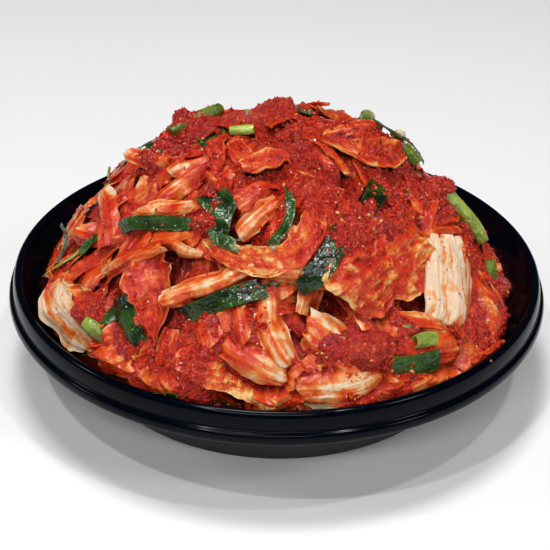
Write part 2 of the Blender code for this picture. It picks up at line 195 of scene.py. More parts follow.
class Dome:
    """How far the pile reaches from CENTRE, on a grid of directions laid out flat round the top."""

    def __init__(self):
        rows = (np.arange(CELLS) - CELLS / 2 + 0.5) * CELL
        self.x, self.y = np.meshgrid(rows, rows)
        away = np.hypot(self.x, self.y)
        self.inside = away < math.radians(100.0)
        across = np.sin(away) / np.maximum(away, 1e-9)
        self.outs = np.stack([self.x * across, self.y * across, np.cos(away)], -1)
        self.area = across * self.inside
        self.reach = np.zeros((CELLS, CELLS))

    def place(self, outs):
        """Where directions fall on the grid, as fractions of cells."""
        away = np.arccos(np.clip(outs[..., 2], -1.0, 1.0))
        flat = np.maximum(np.hypot(outs[..., 0], outs[..., 1]), 1e-9)
        x = outs[..., 0] / flat * away / CELL + CELLS / 2 - 0.5
        y = outs[..., 1] / flat * away / CELL + CELLS / 2 - 0.5
        return np.clip(x, 0, CELLS - 1.001), np.clip(y, 0, CELLS - 1.001)

    def read(self, outs, grid=None):
        """The pile's reach, or another grid's value, in each direction."""
        grid = self.reach if grid is None else grid
        x, y = self.place(outs)
        i, j = y.astype(int), x.astype(int)
        s, t = y - i, x - j
        near = grid[i, j] * (1 - t) + grid[i, j + 1] * t
        far = grid[i + 1, j] * (1 - t) + grid[i + 1, j + 1] * t
        return near * (1 - s) + far * s

    def lay(self, points):
        """Raise the pile to a piece's upper surface, given as a grid of points."""
        finer = refined(refined(points))
        away = finer - CENTRE
        reach = np.linalg.norm(away, axis=-1)
        x, y = self.place(away / reach[..., None])
        np.maximum.at(self.reach, (np.rint(y).astype(int), np.rint(x).astype(int)), reach)


def refined(points):
    """A grid of points with one more between each two, both ways."""
    for axis in (0, 1):
        size = points.shape[axis]
        between = (np.take(points, range(size - 1), axis) + np.take(points, range(1, size), axis)) / 2
        order = np.argsort(np.concatenate([np.arange(size), np.arange(size - 1) + 0.5]))
        points = np.take(np.concatenate([points, between], axis), order, axis)
    return points


def solid_tree(name):
    mesh = frame["nodes"][name].data
    return BVHTree.FromPolygons([c.co for c in mesh.vertices], [tuple(p.vertices) for p in mesh.polygons])


def outer_reach(tree, out):
    """How far a solid reaches in one direction from CENTRE, or nan where it isn't."""
    start = CENTRE + out * 0.3
    hit = tree.ray_cast(Vector(start), Vector(-out))[0]
    return np.nan if hit is None else float(np.linalg.norm(np.array(hit) - CENTRE))


def reach_grid(tree, outs):
    flat = outs.reshape(-1, 3)
    return np.array([outer_reach(tree, out) for out in flat]).reshape(outs.shape[:-1])


# Flat maps of a small area of the pile, for laying one piece


class Patch:
    """A flat map round one direction, true to length at the pile's reach there: (along, side) in metres."""

    def __init__(self, out, heading, reach):
        level = unit(np.cross(UP + (0.0, 1e-4, 0.0), out))
        down = np.cross(level, out)
        self.out, self.reach = out, reach
        self.along = math.cos(heading) * down + math.sin(heading) * level
        self.side = np.cross(self.along, out)

    def outs(self, flat):
        length = np.maximum(np.linalg.norm(flat, axis=-1, keepdims=True), 1e-9)
        tangent = (flat[..., :1] * self.along + flat[..., 1:] * self.side) / length
        return self.out * np.cos(length / self.reach) + tangent * np.sin(length / self.reach)

    def flat(self, outs):
        rise = outs @ self.out
        across = np.stack([outs @ self.along, outs @ self.side], -1)
        length = np.maximum(np.linalg.norm(across, axis=-1, keepdims=True), 1e-9)
        return across / length * np.arccos(np.clip(rise, -1, 1))[..., None] * self.reach


# Shapes of pieces


@dataclass
class Kind:
    """How one kind of food is cut and how it lies. Lengths are in metres, shares are of half its width."""

    thick: float
    crown: float = 0.5  # how much thinner the edges are
    margin: float = 0.0  # the share of its width that is a thin leafy edge
    curl: float = 0.0  # how much its edges rise, or fall below 0
    fold: float = 0.0  # how steeply it folds along its middle
    ribs: int = 0
    rib: float = 0.0  # height of the ribs
    crumple: float = 0.0  # height of the crumples
    crumple_size: float = 9 * MM
    ruffle: float = 0.0  # height of the waves in its edges
    limp: float = 0.4  # 0 lies straight, 1 follows all that is under it
    grain: float = 0.0  # height of the paste grains in its surface
    fray: float = 0.0  # depth of the notches torn in its upper end
    slant: float = 0.25  # how slanted its cut ends are
    torn: float = 0.2  # how uneven its sides are
    taper: tuple = (1.0, 1.0)  # how much wider than traced it is at its upper and lower end
    lift: float = 0.0  # how far it lies above its own solid's surface
    step: float = 1.9 * MM
    side_step: float = 1.5 * MM


def strip_grid(line, half, kind, number, length):
    """A grid of flat points over a strip, with the place of each along and across it."""
    rows = len(line)
    columns = max(int(round(2 * half.max() / kind.side_step)) + 1, 5)
    sideways = np.linspace(-1.0, 1.0, columns)
    sideways = np.sign(sideways) * np.abs(sideways) ** 0.9
    ahead = unit(np.gradient(line, axis=0))
    square = np.stack([-ahead[:, 1], ahead[:, 0]], -1)
    along = np.linspace(0.0, length, rows)
    s, t = np.meshgrid(along, sideways, indexing="ij")
    marks = np.stack([s, t * half[:, None], np.full_like(s, number * 0.37)], -1)
    wobble = 1.0 + kind.torn * layered(np.stack([s, np.sign(t) * 0.05, marks[..., 2]], -1), 7 * MM, 3, 3)
    flat = line[:, None] + square[:, None] * (t * half[:, None] * wobble)[..., None]
    # The cut ends are slanted and a little ragged, and an upper end may be torn into fibres.
    ends = np.stack([np.zeros_like(s), t * half[:, None], marks[..., 2]], -1)
    lean = 4.0 * kind.slant * noise(np.full((1, 3), number * 0.53), 1.0, 9)[0]
    ragged = 1.2 * MM * noise(ends, 3 * MM, 5) + lean * t * half[:, None]
    tip = smooth_step(np.abs(2 * s / length - 1), 0.6, 1.0)
    torn = kind.fray * np.abs(noise(ends, 2.6 * MM, 15)) * smooth_step(1 - 2 * s / length, 0.3, 1.0)
    flat = flat + ahead[:, None] * (ragged * tip + torn)[..., None]
    return flat, s, t, marks


def settled(base, half, kind, t):
    """The height that a strip lies at, over the uneven reach of what is under it."""
    lean = (base * t).sum(1) / (t * t).sum(1)
    line = 0.55 * base.max(1) + 0.45 * base.mean(1)
    stiff = 9 * MM / kind.step
    line = blur(line[:, None], stiff * (1.3 - kind.limp), axes=(0,))[:, 0]
    lean = blur(lean[:, None], stiff, axes=(0,))[:, 0]
    lean = np.clip(lean, -0.5 * half, 0.5 * half)
    straight = line[:, None] + lean[:, None] * t
    close = blur(base, 1.6) + 0.2 * MM
    return straight * (1 - kind.limp) + np.maximum(close, straight - 3 * MM) * kind.limp


def relief(kind, s, t, marks, half, number):
    """How the upper side of a strip rises and falls about its flat form, and how thick it is."""
    width = half[:, None]
    rise = kind.curl * width * (t * t - 0.35) + kind.fold * width * (np.abs(t) - 0.5)
    if kind.crumple:
        bent = marks + 0.4 * kind.crumple_size * noise(marks, 1.3 * kind.crumple_size, 13)[..., None]
        creases = 1.0 - 2.2 * np.abs(layered(bent * (0.7, 1.0, 1.0), kind.crumple_size, 11, 3))
        rise = rise + kind.crumple * creases
    if kind.ruffle:
        waves = noise(np.stack([s, np.sign(t) * 0.03, marks[..., 2]], -1), 4.5 * MM, 21)
        rise = rise + kind.ruffle * waves * np.abs(t) ** 3
    body = 1.0 - kind.crown * np.abs(t) ** 2.4
    if kind.margin:
        body = body * (1.0 - 0.72 * smooth_step(np.abs(t), 0.85 - kind.margin, 1.1 - kind.margin))
    rows = len(s)
    tips = np.minimum(np.arange(rows), np.arange(rows)[::-1])[:, None]
    body = body * (0.7 + 0.3 * np.minimum(1.0, tips / 2.0))
    body = body * (1.0 + 0.12 * noise(marks, 9 * MM, 31))
    over = np.zeros_like(s)
    bare = 0.55 * smooth_step(np.abs(t), 0.72, 1.0)
    if kind.ribs:
        phase = 6.28 * noise(np.full((1, 3), number * 0.71), 1.0, 5)[0]
        bands = np.cos(np.pi * kind.ribs * t + phase + 0.9 * noise(marks * (0.3, 1, 1), 8 * MM, 41))
        over = over + kind.rib * bands * (1.0 - t * t)
        bare = bare + 0.35 * bands * (1.0 - t * t)
    if kind.crumple:
        bare = bare + 0.4 * creases
    if kind.grain:
        over = over + kind.grain * (0.5 - grains(marks, 2.2 * MM, 3))
    return rise, kind.thick * body, over, bare


def shell(over, under):
    """Points and faces of the closed shell between two grids of points."""
    rows, columns = over.shape[:2]
    number = np.arange(rows * columns).reshape(rows, columns)
    top = np.stack([number[:-1, :-1], number[:-1, 1:], number[1:, 1:], number[1:, :-1]], -1).reshape(-1, 4)
    bottom = top[:, ::-1] + rows * columns
    border = np.concatenate([number[0, :-1], number[:-1, -1], number[-1, :0:-1], number[:0:-1, 0]])
    after = np.roll(border, -1)
    sides = np.stack([after, border, border + rows * columns, after + rows * columns], -1)
    points = np.concatenate([over.reshape(-1, 3), under.reshape(-1, 3)])
    return points, np.concatenate([top, bottom, sides])


def tube(centres, sides, ups, radius, wall, flatness=0.8, around=14):
    """Points, faces and places round of a hollow stalk, open at both ends."""
    turn = np.linspace(0.0, 2 * np.pi, around, endpoint=False)
    skins = []
    for inset in (0.0, wall):
        r = radius[:, None] - inset
        skins.append(
            centres[:, None]
            + sides[:, None] * (r * np.sin(turn))[..., None]
            + ups[:, None] * (r * np.cos(turn) * flatness)[..., None]
        )
    rows = len(centres)
    number = np.arange(rows * around).reshape(rows, around)
    after = np.roll(number, -1, axis=1)
    outer = np.stack([number[:-1], after[:-1], after[1:], number[1:]], -1).reshape(-1, 4)
    step = rows * around
    inner = outer[:, ::-1] + step
    first = np.stack([after[0], number[0], number[0] + step, after[0] + step], -1)
    last = np.stack([number[-1], after[-1], after[-1] + step, number[-1] + step], -1)
    points = np.concatenate([skin.reshape(-1, 3) for skin in skins])
    return points, np.concatenate([outer, inner, first, last])


class Batch:
    """Many closed shells that share a material, joined in one mesh."""

    def __init__(self):
        self.points, self.faces, self.marks, self.bare, self.clean, self.count = [], [], [], [], [], 0

    def add(self, points, faces, marks, bare, clean):
        self.points.append(points)
        self.faces.append(faces + self.count)
        self.marks.append(marks)
        self.bare.append(bare)
        self.clean.append(np.full(len(points), clean))
        self.count += len(points)


def lay_strip(dome, patch, line, half, kind, number, ceiling=None, top=None, raised=(0.0, 0.0)):
    """A strip's upper and lower grid of points, its marks, how bare each place is of paste, and the share
    that is seen. It lies on the pile or, if it is a large piece, where its own solid is."""
    length = float(np.linalg.norm(np.diff(line, axis=0), axis=1).sum())
    flat, s, t, marks = strip_grid(line, half, kind, number, length)
    outs = patch.outs(flat)
    rise, thick, over, bare = relief(kind, s, t, marks, half, number)
    pile = dome.read(outs)
    if top is None:
        base = settled(pile, half, kind, t)
    else:
        base = top(outs) - kind.thick + kind.lift
        sag = np.clip((base - pile).mean(), -1.0 * MM, 3.0 * MM)
        base = base - 0.7 * sag
    upper = base + rise + thick + over
    if ceiling is not None:
        upper = upper - 0.8 * np.maximum(0.0, upper - ceiling(outs))
    share = s / length
    upper = upper + raised[0] * np.maximum(0.0, 1 - share / 0.5) ** 2 + raised[1] * np.maximum(0.0, 2 * share - 1) ** 2
    if top is None:
        upper = np.minimum(upper, dome.read(outs, RESERVED) - UNDER_LARGE)
    lower = upper - thick - np.minimum(over, 0.0) * 0.5
    upper_points = inside_bowl(CENTRE + outs * upper[..., None])
    lower_points = inside_bowl(CENTRE + outs * lower[..., None])
    seen = float((upper > pile + 0.3 * MM).mean())
    return upper_points, lower_points, marks, bare, seen


def closed(upper, lower, marks, bare):
    """A strip's shell, with its marks and bareness on both of its sides."""
    points, faces = shell(upper, lower)
    return points, faces, np.concatenate([marks.reshape(-1, 3)] * 2), np.tile(bare.ravel(), 2)


# Large pieces: their routes and widths, read from the solids

TRACE = 1.2 * MM  # the raster that a solid is traced on


def traced(name):
    """A solid's flat map, centre line from its upper end down, half widths and upper surface."""
    tree = solid_tree(name)
    corners = np.array([corner.co[:] for corner in frame["nodes"][name].data.vertices]) - CENTRE
    reach = np.linalg.norm(corners, axis=1)
    patch = Patch(unit(unit(corners).mean(0)), 0.0, float(reach.mean()))
    flat = patch.flat(unit(corners))
    low, high = flat.min(0) - TRACE, flat.max(0) + TRACE
    rows, columns = (int((high[axis] - low[axis]) / TRACE) + 1 for axis in (0, 1))
    spots = low + TRACE * np.stack(np.meshgrid(range(rows), range(columns), indexing="ij"), -1)
    height = reach_grid(tree, patch.outs(spots))
    inside = [tuple(cell) for cell in np.argwhere(~np.isnan(height))]
    middle = inside[len(inside) // 2]
    start = farthest(spread(inside, middle))
    from_start = spread(inside, start)
    end = farthest(from_start)
    from_end = spread(inside, end)
    cells = np.array(inside)
    run = np.array([(from_start[cell] - from_end[cell] + from_start[end]) / 2 for cell in inside]) * TRACE
    length = from_start[end] * TRACE
    places = spots[cells[:, 0], cells[:, 1]]
    wide = len(inside) * TRACE**2 / length > length / 3
    if wide:
        axis = np.linalg.eigh(np.cov(places.T))[1][:, 1]
        axis = axis if (places[np.argmax(run)] - places[np.argmin(run)]) @ axis > 0 else -axis
        run = (places - places.mean(0)) @ axis
        run, length = run - run.min(), float(np.ptp(run))
    bins = max(int(length / (4 * MM)), 4)
    share = np.minimum((run / length * bins).astype(int), bins - 1)
    line = np.array([places[share == i].mean(0) if (share == i).any() else (np.nan, np.nan) for i in range(bins)])
    count = np.array([(share == i).sum() for i in range(bins)], float)
    good = ~np.isnan(line[:, 0])
    line, count = line[good], count[good]
    line[1:-1] = (line[:-2] + 2 * line[1:-1] + line[2:]) / 4
    pitch = np.linalg.norm(np.diff(line, axis=0), axis=1).mean()
    half = count * TRACE**2 / pitch / 2
    line = np.concatenate([[1.4 * line[0] - 0.4 * line[1]], line, [1.4 * line[-1] - 0.4 * line[-2]]])
    half = np.concatenate([half[:1] * 0.85, half, half[-1:] * 0.85])
    if patch.outs(line[0])[2] < patch.outs(line[-1])[2]:
        line, half = line[::-1], half[::-1]
    return patch, line, half, lambda outs: filled(reach_grid(tree, outs))


def spread(cells, start):
    """Distance from one cell to every other, in cells, without leaving them."""
    known = set(cells)
    steps = [(i, j, math.hypot(i, j)) for i in (-1, 0, 1) for j in (-1, 0, 1) if (i, j) != (0, 0)]
    best = {start: 0.0}
    queue = [(0.0, start)]
    while queue:
        far, cell = heapq.heappop(queue)
        if far > best[cell]:
            continue
        for i, j, length in steps:
            beside = (cell[0] + i, cell[1] + j)
            if beside in known and far + length < best.get(beside, 1e9):
                best[beside] = far + length
                heapq.heappush(queue, (far + length, beside))
    return best


def farthest(distances):
    return max(distances, key=lambda cell: (distances[cell], cell))


def filled(grid):
    """A grid with its missing values taken from their neighbours, and smoothed."""
    grid = grid.copy()
    for _ in range(max(grid.shape)):
        missing = np.isnan(grid)
        if not missing.any():
            break
        padded = np.pad(grid, 1, constant_values=np.nan)
        around = np.stack([padded[:-2, 1:-1], padded[2:, 1:-1], padded[1:-1, :-2], padded[1:-1, 2:]])
        with np.errstate(all="ignore"):
            near = np.nansum(around, 0) / np.maximum((~np.isnan(around)).sum(0), 1)
        ready = missing & (~np.isnan(around)).any(0)
        grid[ready] = near[ready]
    return blur(grid, 2.2)


def resampled(line, half, step):
    """A centre line and its half widths with points one step apart, on a smooth curve."""
    run = np.concatenate([[0.0], np.cumsum(np.linalg.norm(np.diff(line, axis=0), axis=1))])
    marks = np.linspace(0.0, run[-1], max(int(run[-1] / step) + 1, 6))
    finer = [blur(np.interp(marks, run, values)[:, None], 2.0, axes=(0,))[:, 0] for values in (*line.T, half)]
    return np.stack(finer[:2], -1), finer[2]


# Materials


class Nodes:
    """A material's node tree, with a short way to add and join nodes."""

    def __init__(self, name):
        self.material = bpy.data.materials.new(name)
        self.material.use_nodes = True
        self.tree = self.material.node_tree
        self.shader = self.tree.nodes["Principled BSDF"]
        self.position = self.add("ShaderNodeTexCoord").outputs["Object"]

    def add(self, kind, inputs=(), **settings):
        node = self.tree.nodes.new(kind)
        for name, value in settings.items():
            setattr(node, name, value)
        for name, value in dict(inputs).items():
            self.put(node.inputs[name], value)
        return node

    def put(self, socket, value):
        if isinstance(value, bpy.types.NodeSocket):
            self.tree.links.new(value, socket)
        else:
            socket.default_value = value

    def math(self, operation, a, b=0.0, clamp=False):
        node = self.add("ShaderNodeMath", {0: a, 1: b}, operation=operation, use_clamp=clamp)
        return node.outputs[0]

    def noise(self, size, detail=3.0, where=None, distortion=0.0):
        scale = {"Vector": where or self.position, "Scale": 1.0 / size, "Detail": detail, "Distortion": distortion}
        return self.add("ShaderNodeTexNoise", scale).outputs["Fac"]

    def ramp(self, value, stops):
        node = self.add("ShaderNodeValToRGB", {"Fac": value})
        elements = node.color_ramp.elements
        while len(elements) < len(stops):
            elements.new(0.5)
        for element, (place, colour) in zip(elements, stops):
            element.position = place
            element.color = (*colour, 1.0) if len(colour) == 3 else colour
        return node.outputs["Color"]

    def mix(self, share, a, b, blend="MIX"):
        node = self.add("ShaderNodeMix", data_type="RGBA", blend_type=blend)
        for socket, value in zip((node.inputs[0], node.inputs[6], node.inputs[7]), (share, a, b)):
            self.put(socket, (*value, 1.0) if isinstance(value, tuple) else value)
        return node.outputs[2]

    def attribute(self, name):
        return self.add("ShaderNodeAttribute", attribute_name=name).outputs

    def bump(self, height, strength, distance, below=None):
        inputs = {"Height": height, "Strength": strength, "Distance": distance}
        if below is not None:
            inputs["Normal"] = below
        return self.add("ShaderNodeBump", inputs).outputs["Normal"]

    def finish(self, colour, roughness, normal=None, **constants):
        self.put(self.shader.inputs["Base Color"], colour)
        self.put(self.shader.inputs["Roughness"], roughness)
        if normal is not None:
            self.put(self.shader.inputs["Normal"], normal)
            self.put(self.shader.inputs["Coat Normal"], normal)
        for name, value in constants.items():
            self.shader.inputs[name.replace("_", " ").title().replace("Ior", "IOR")].default_value = value
        return self.material


WHITE = (0.80, 0.60, 0.42)
CREAM = (0.78, 0.41, 0.19)
PEACH = (0.74, 0.22, 0.055)
ORANGE = (0.66, 0.095, 0.014)
RED = (0.53, 0.016, 0.009)
DEEP_RED = (0.30, 0.008, 0.006)
# Painted shade, with some juice: the dark red that the gaps between beads and the depths of the pile are darkened
# towards.
SHADE_AND_JUICE_RED = (0.085, 0.003, 0.002)
WET = dict(coat_weight=0.24, coat_roughness=0.02, subsurface_weight=0.06, subsurface_scale=0.003,
           specular_ior_level=0.22)


BENT = 3.0 * MM  # how far the ground chilli's beads are bent out of shape


def ground_chilli(nodes, size=1.6 * MM):
    """Ground chilli: the colour of its beads and bits, with painted shade in the gaps between the beads, and the
    height of the beads.
    """
    bend = nodes.add("ShaderNodeTexNoise", {"Vector": nodes.position, "Scale": 1.0 / size, "Detail": 2.0})
    shift = nodes.add("ShaderNodeVectorMath", {0: bend.outputs["Color"], 1: (BENT, BENT, BENT)}, operation="MULTIPLY")
    where = nodes.add("ShaderNodeVectorMath", {0: nodes.position, 1: shift.outputs[0]}).outputs[0]
    cells = nodes.add("ShaderNodeTexVoronoi", {"Vector": where, "Scale": 1.0 / size, "Randomness": 1.0})
    bits = nodes.add("ShaderNodeSeparateColor", {"Color": cells.outputs["Color"]}).outputs[0]
    wide = nodes.noise(9 * MM, 4.0)
    value = nodes.math("ADD", nodes.math("MULTIPLY", bits, 0.45), nodes.math("MULTIPLY", wide, 0.9))
    stops = [(0.36, DEEP_RED), (0.60, RED), (0.90, (0.62, 0.050, 0.013)), (1.0, (0.70, 0.14, 0.03))]
    height = nodes.math("SUBTRACT", 0.6, cells.outputs["Distance"])
    # Painted shade: the gaps between the beads are darkened towards the darkest red.
    between = nodes.ramp(height, [(0.0, (1, 1, 1)), (0.22, (0, 0, 0))])
    return nodes.mix(nodes.math("MULTIPLY", between, 0.6), nodes.ramp(value, stops), SHADE_AND_JUICE_RED), height


def look_channels(nodes):
    """What the vertices tell: how clean the piece is, how stained, its own shade, and how bare the place is."""
    look = nodes.attribute("look")
    split = nodes.add("ShaderNodeSeparateColor", {"Color": look["Color"]}).outputs
    return split[0], split[1], split[2], look["Alpha"]


def centred(nodes, value, amount):
    """A noise about zero, times an amount."""
    return nodes.math("MULTIPLY", nodes.math("SUBTRACT", value, 0.5), amount)


def added(nodes, *values):
    total = values[0]
    for value in values[1:]:
        total = nodes.math("ADD", total, value)
    return total


def lines(nodes, where, size, sharpness, detail=1.0):
    """Thin lines along a piece, 1 on the line and 0 between, from where a stretched noise crosses its middle."""
    wave = nodes.noise(size, detail, where, 0.4)
    away = nodes.math("ABSOLUTE", centred(nodes, wave, 4.0))
    return nodes.math("POWER", nodes.math("SUBTRACT", 1.0, away, clamp=True), sharpness)


def cabbage_material(name, stops, stretch, ridges, relief, crinkle):
    """Cabbage: pale and see-through where it is bare, washed orange round the paste, and coated with ground
    chilli where the paste gathers. Ridges run along it, paler than what lies between them. Deep in the pile it
    is painted darker, as shade with some juice."""
    nodes = Nodes(name)
    clean, film, tone, bare = look_channels(nodes)
    grain = nodes.attribute("grain")["Vector"]
    along = nodes.add("ShaderNodeMapping", {"Vector": grain, "Scale": (stretch, 1.0, 1.0)}).outputs[0]
    fibres = nodes.noise(1.2 * MM, 3.0, along)
    ridge = lines(nodes, along, 3.2 * MM, 2.5)
    patches = nodes.noise(9 * MM, 5.0, distortion=0.8)
    wide = nodes.add("ShaderNodeMapping", {"Vector": grain, "Scale": (2.2 * stretch, 1.0, 1.0)}).outputs[0]
    streaks = nodes.noise(3.5 * MM, 3.0, wide, 0.3)
    fine = nodes.noise(2.2 * MM, 4.0)
    stain = added(nodes, film, centred(nodes, patches, 1.2), centred(nodes, fine, 0.4), centred(nodes, fibres, 0.5),
                  centred(nodes, streaks, 1.3),
                  centred(nodes, tone, 0.16), nodes.math("MULTIPLY", ridge, -ridges))
    stain = nodes.math("SUBTRACT", stain, nodes.math("MULTIPLY", clean, 0.70), clamp=True)
    colour = nodes.ramp(stain, stops)
    shade = nodes.ramp(fibres, [(0.30, (0.72, 0.62, 0.52)), (0.62, (1.0, 1.0, 1.0))])
    colour = nodes.mix(0.5, colour, nodes.mix(1.0, colour, shade, "MULTIPLY"))
    beads, height = ground_chilli(nodes)
    coat = nodes.ramp(added(nodes, stain, centred(nodes, height, 0.30)), [(COATED, (0, 0, 0)), (COATED + 0.09, (1, 1, 1))])
    colour = nodes.mix(coat, colour, beads)
    # Painted shade, with some juice: the colour is darkened towards the darkest red deep in the pile.
    colour = nodes.mix(nodes.math("MULTIPLY", nodes.attribute("juice_and_depth_shade")["Fac"], 0.8), colour, SHADE_AND_JUICE_RED)
    roughness = added(nodes, nodes.math("MULTIPLY", fine, 0.14), 0.06)
    raised = nodes.bump(ridge, relief, 0.5 * MM, nodes.bump(fibres, 0.4, 0.5 * MM))
    folds = nodes.bump(lines(nodes, nodes.position, 5.0 * MM, 1.5, 3.0), crinkle, 1.0 * MM, raised)
    normal = nodes.bump(nodes.math("MULTIPLY", coat, height), 0.9, 1.4 * MM, folds)
    return nodes.finish(colour, roughness, normal, **WET)


COATED = 0.68  # the stain above which ground chilli covers the cabbage
STEM_STOPS = [(0.0, WHITE), (0.12, CREAM), (0.27, PEACH), (0.46, ORANGE), (0.68, (0.58, 0.034, 0.010)), (1.0, RED)]
LEAF_STOPS = [(0.0, (0.82, 0.46, 0.17)), (0.16, (0.80, 0.27, 0.06)), (0.34, ORANGE), (0.58, (0.58, 0.034, 0.010)), (1.0, RED)]


def green_material(name, dark, bright):
    """Onion greens: dark, with lighter veins, patches and edges, and groups of chilli bits on them."""
    nodes = Nodes(name)
    clean, film, tone, bare = look_channels(nodes)
    grain = nodes.attribute("grain")["Vector"]
    stretched = nodes.add("ShaderNodeMapping", {"Vector": grain, "Scale": (0.04, 1.0, 1.0)}).outputs[0]
    veins = nodes.noise(0.8 * MM, 2.0, stretched)
    patches = nodes.noise(8 * MM, 3.0)
    light = nodes.math("ADD", added(nodes, clean, centred(nodes, veins, 0.8), centred(nodes, patches, 1.5),
                                    nodes.math("MULTIPLY", bare, 0.35)), 0.02, clamp=True)
    middle = tuple(0.6 * a + 0.4 * b for a, b in zip(dark, bright))
    colour = nodes.ramp(light, [(0.0, dark), (0.45, middle), (1.0, bright)])
    beads, height = ground_chilli(nodes, 1.3 * MM)
    fine = nodes.noise(1.6 * MM, 3.0)
    stuck = added(nodes, nodes.math("MULTIPLY", nodes.noise(7 * MM, 3.0), 1.1), nodes.math("MULTIPLY", fine, 0.5),
                  nodes.math("MULTIPLY", film, 0.25), nodes.math("MULTIPLY", height, 0.25))
    coat = nodes.ramp(stuck, [(1.00, (0, 0, 0)), (1.04, (1, 1, 1))])
    colour = nodes.mix(coat, colour, nodes.mix(0.6, beads, (0.15, 0.010, 0.005)))
    roughness = added(nodes, nodes.math("MULTIPLY", fine, 0.30), 0.05)
    ridges = nodes.bump(veins, 0.15, 0.4 * MM)
    uneven = nodes.bump(nodes.noise(4.0 * MM, 2.0), 0.9, 1.6 * MM, ridges)
    normal = nodes.bump(nodes.math("MULTIPLY", coat, height), 0.6, 1.0 * MM, uneven)
    return nodes.finish(colour, roughness, normal, coat_weight=0.15, coat_roughness=0.05, specular_ior_level=0.35)


def paste_material(name):
    """Ground chilli paste: coarse and wet, painted darker in its depth as shade with some juice."""
    nodes = Nodes(name)
    colour, height = ground_chilli(nodes)
    # Painted shade, with some juice: the colour is darkened towards the darkest red deep in the pile.
    colour = nodes.mix(nodes.math("MULTIPLY", nodes.attribute("juice_and_depth_shade")["Fac"], 0.8), colour, SHADE_AND_JUICE_RED)
    roughness = added(nodes, nodes.math("MULTIPLY", nodes.noise(3.0 * MM), 0.20), 0.05)
    return nodes.finish(colour, roughness, nodes.bump(height, 0.8, 1.3 * MM), **{**WET, "coat_weight": 0.4})


def chip_material(name, dull, bright):
    """Loose chips or seeds: wet, each a little different."""
    nodes = Nodes(name)
    colour = nodes.ramp(nodes.noise(2.5 * MM, 2.0), [(0.35, dull), (0.65, bright)])
    roughness = nodes.math("ADD", nodes.math("MULTIPLY", nodes.noise(1.0 * MM, 1.0), 0.2), 0.05)
    return nodes.finish(colour, roughness, **WET)


def bowl_material(name, base, roughness, smear):
    """Hard black plastic, with thin oily chilli smears where the food has touched it."""
    nodes = Nodes(name)
    soft = nodes.noise(30 * MM, 3.0)
    fine = nodes.noise(0.8 * MM, 2.0)
    colour = nodes.ramp(soft, [(0.3, tuple(0.9 * c for c in base)), (0.7, tuple(1.15 * c for c in base))])
    rough = nodes.math("ADD", nodes.math("MULTIPLY", soft, 0.08), roughness)
    if smear:
        oily = nodes.attribute("look")["Color"]
        streaks = nodes.noise(7 * MM, 4.0, distortion=1.0)
        place = nodes.math("MULTIPLY", nodes.add("ShaderNodeSeparateColor", {"Color": oily}).outputs[0], streaks)
        mask = nodes.ramp(place, [(0.24, (0, 0, 0)), (0.50, (1, 1, 1))])
        colour = nodes.mix(mask, colour, (0.075, 0.012, 0.004))
    return nodes.finish(colour, rough, nodes.bump(fine, 0.05, 0.1 * MM), specular_ior_level=0.09)


# Making objects


def make_object(name, points, faces, materials, looks=None, marks=None, juice_and_depth_shade=None, sharp=50.0):
    data = bpy.data.meshes.new(name)
    data.from_pydata([tuple(point) for point in points], [], [tuple(int(i) for i in face) for face in faces])
    data.update()
    for made in materials:
        data.materials.append(made)
    if looks is not None:
        layer = data.attributes.new("look", "FLOAT_COLOR", "POINT")
        layer.data.foreach_set("color", np.asarray(looks, np.float32).ravel())
    if marks is not None:
        layer = data.attributes.new("grain", "FLOAT_VECTOR", "POINT")
        layer.data.foreach_set("vector", np.asarray(marks, np.float32).ravel())
    # How far each point is darkened as painted shade, with some juice, deep in the pile.
    if juice_and_depth_shade is not None:
        layer = data.attributes.new("juice_and_depth_shade", "FLOAT", "POINT")
        layer.data.foreach_set("value", np.asarray(juice_and_depth_shade, np.float32).ravel())
    data.shade_smooth()
    data.set_sharp_from_angle(angle=math.radians(sharp))
    made = bpy.data.objects.new(name, data)
    bpy.context.scene.collection.objects.link(made)
    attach(made, "root")
    return made


# The pile

dome = Dome()
heap_tree = solid_tree("kimchi_heap")
HEAP = np.nan_to_num(reach_grid(heap_tree, dome.outs * 1.0), nan=0.0) * dome.inside
CORE_DEPTH = 14 * MM


def open_directions():
    """Where the heap is clear of the bowl's wall: the chance that a small piece is laid on each cell."""
    spots = CENTRE + dome.outs * HEAP[..., None]
    radius = np.hypot(spots[..., 0], spots[..., 1])
    clear = (radius < wall_radius(spots[..., 2]) - 1 * MM) | (spots[..., 2] > RIM_TOP)
    return np.where(clear & (HEAP > 0), dome.area * HEAP**2, 0.0)


def reserved_room():
    """The outer reach of the large pieces' solids, and a metre where there are none."""
    room = np.ones((CELLS, CELLS))
    for name, node in frame["nodes"].items():
        if name in ("bowl", "kimchi_heap"):
            continue
        tree = solid_tree(name)
        outs = unit(np.array([corner.co[:] for corner in node.data.vertices]) - CENTRE)
        x, y = dome.place(outs)
        rows = slice(int(y.min()), int(y.max()) + 2)
        columns = slice(int(x.min()), int(x.max()) + 2)
        reach = reach_grid(tree, dome.outs[rows, columns])
        room[rows, columns] = np.fmin(room[rows, columns], reach)
    return room


RESERVED = reserved_room()
UNDER_LARGE = 3 * MM  # room left for each large piece

# Dark gaps between the pieces: azimuth, elevation, half width.
GAPS = [(12, 21, 4.0), (27, 18, 3.2), (-42, 15, 3.5), (-36, 27, 4.0), (-14, 37, 3.0), (-20, 45, 2.5), (44, 22, 2.5),
        (60, 33, 2.5), (-70, 24, 3.0), (8, 45, 2.5), (-140, 30, 4.0), (160, 22, 4.0), (120, 32, 3.5), (-100, 18, 3.0)]
GAP_DEPTH = 11 * MM


def gap_depth(outs):
    """How far the pile is sunk in each direction to leave its dark gaps."""
    depth = 0.0
    for azimuth, elevation, width in GAPS:
        apart = np.arccos(np.clip(outs @ direction(azimuth, elevation), -1, 1))
        depth = depth + GAP_DEPTH * np.exp(-((apart / math.radians(width)) ** 4))
    return depth


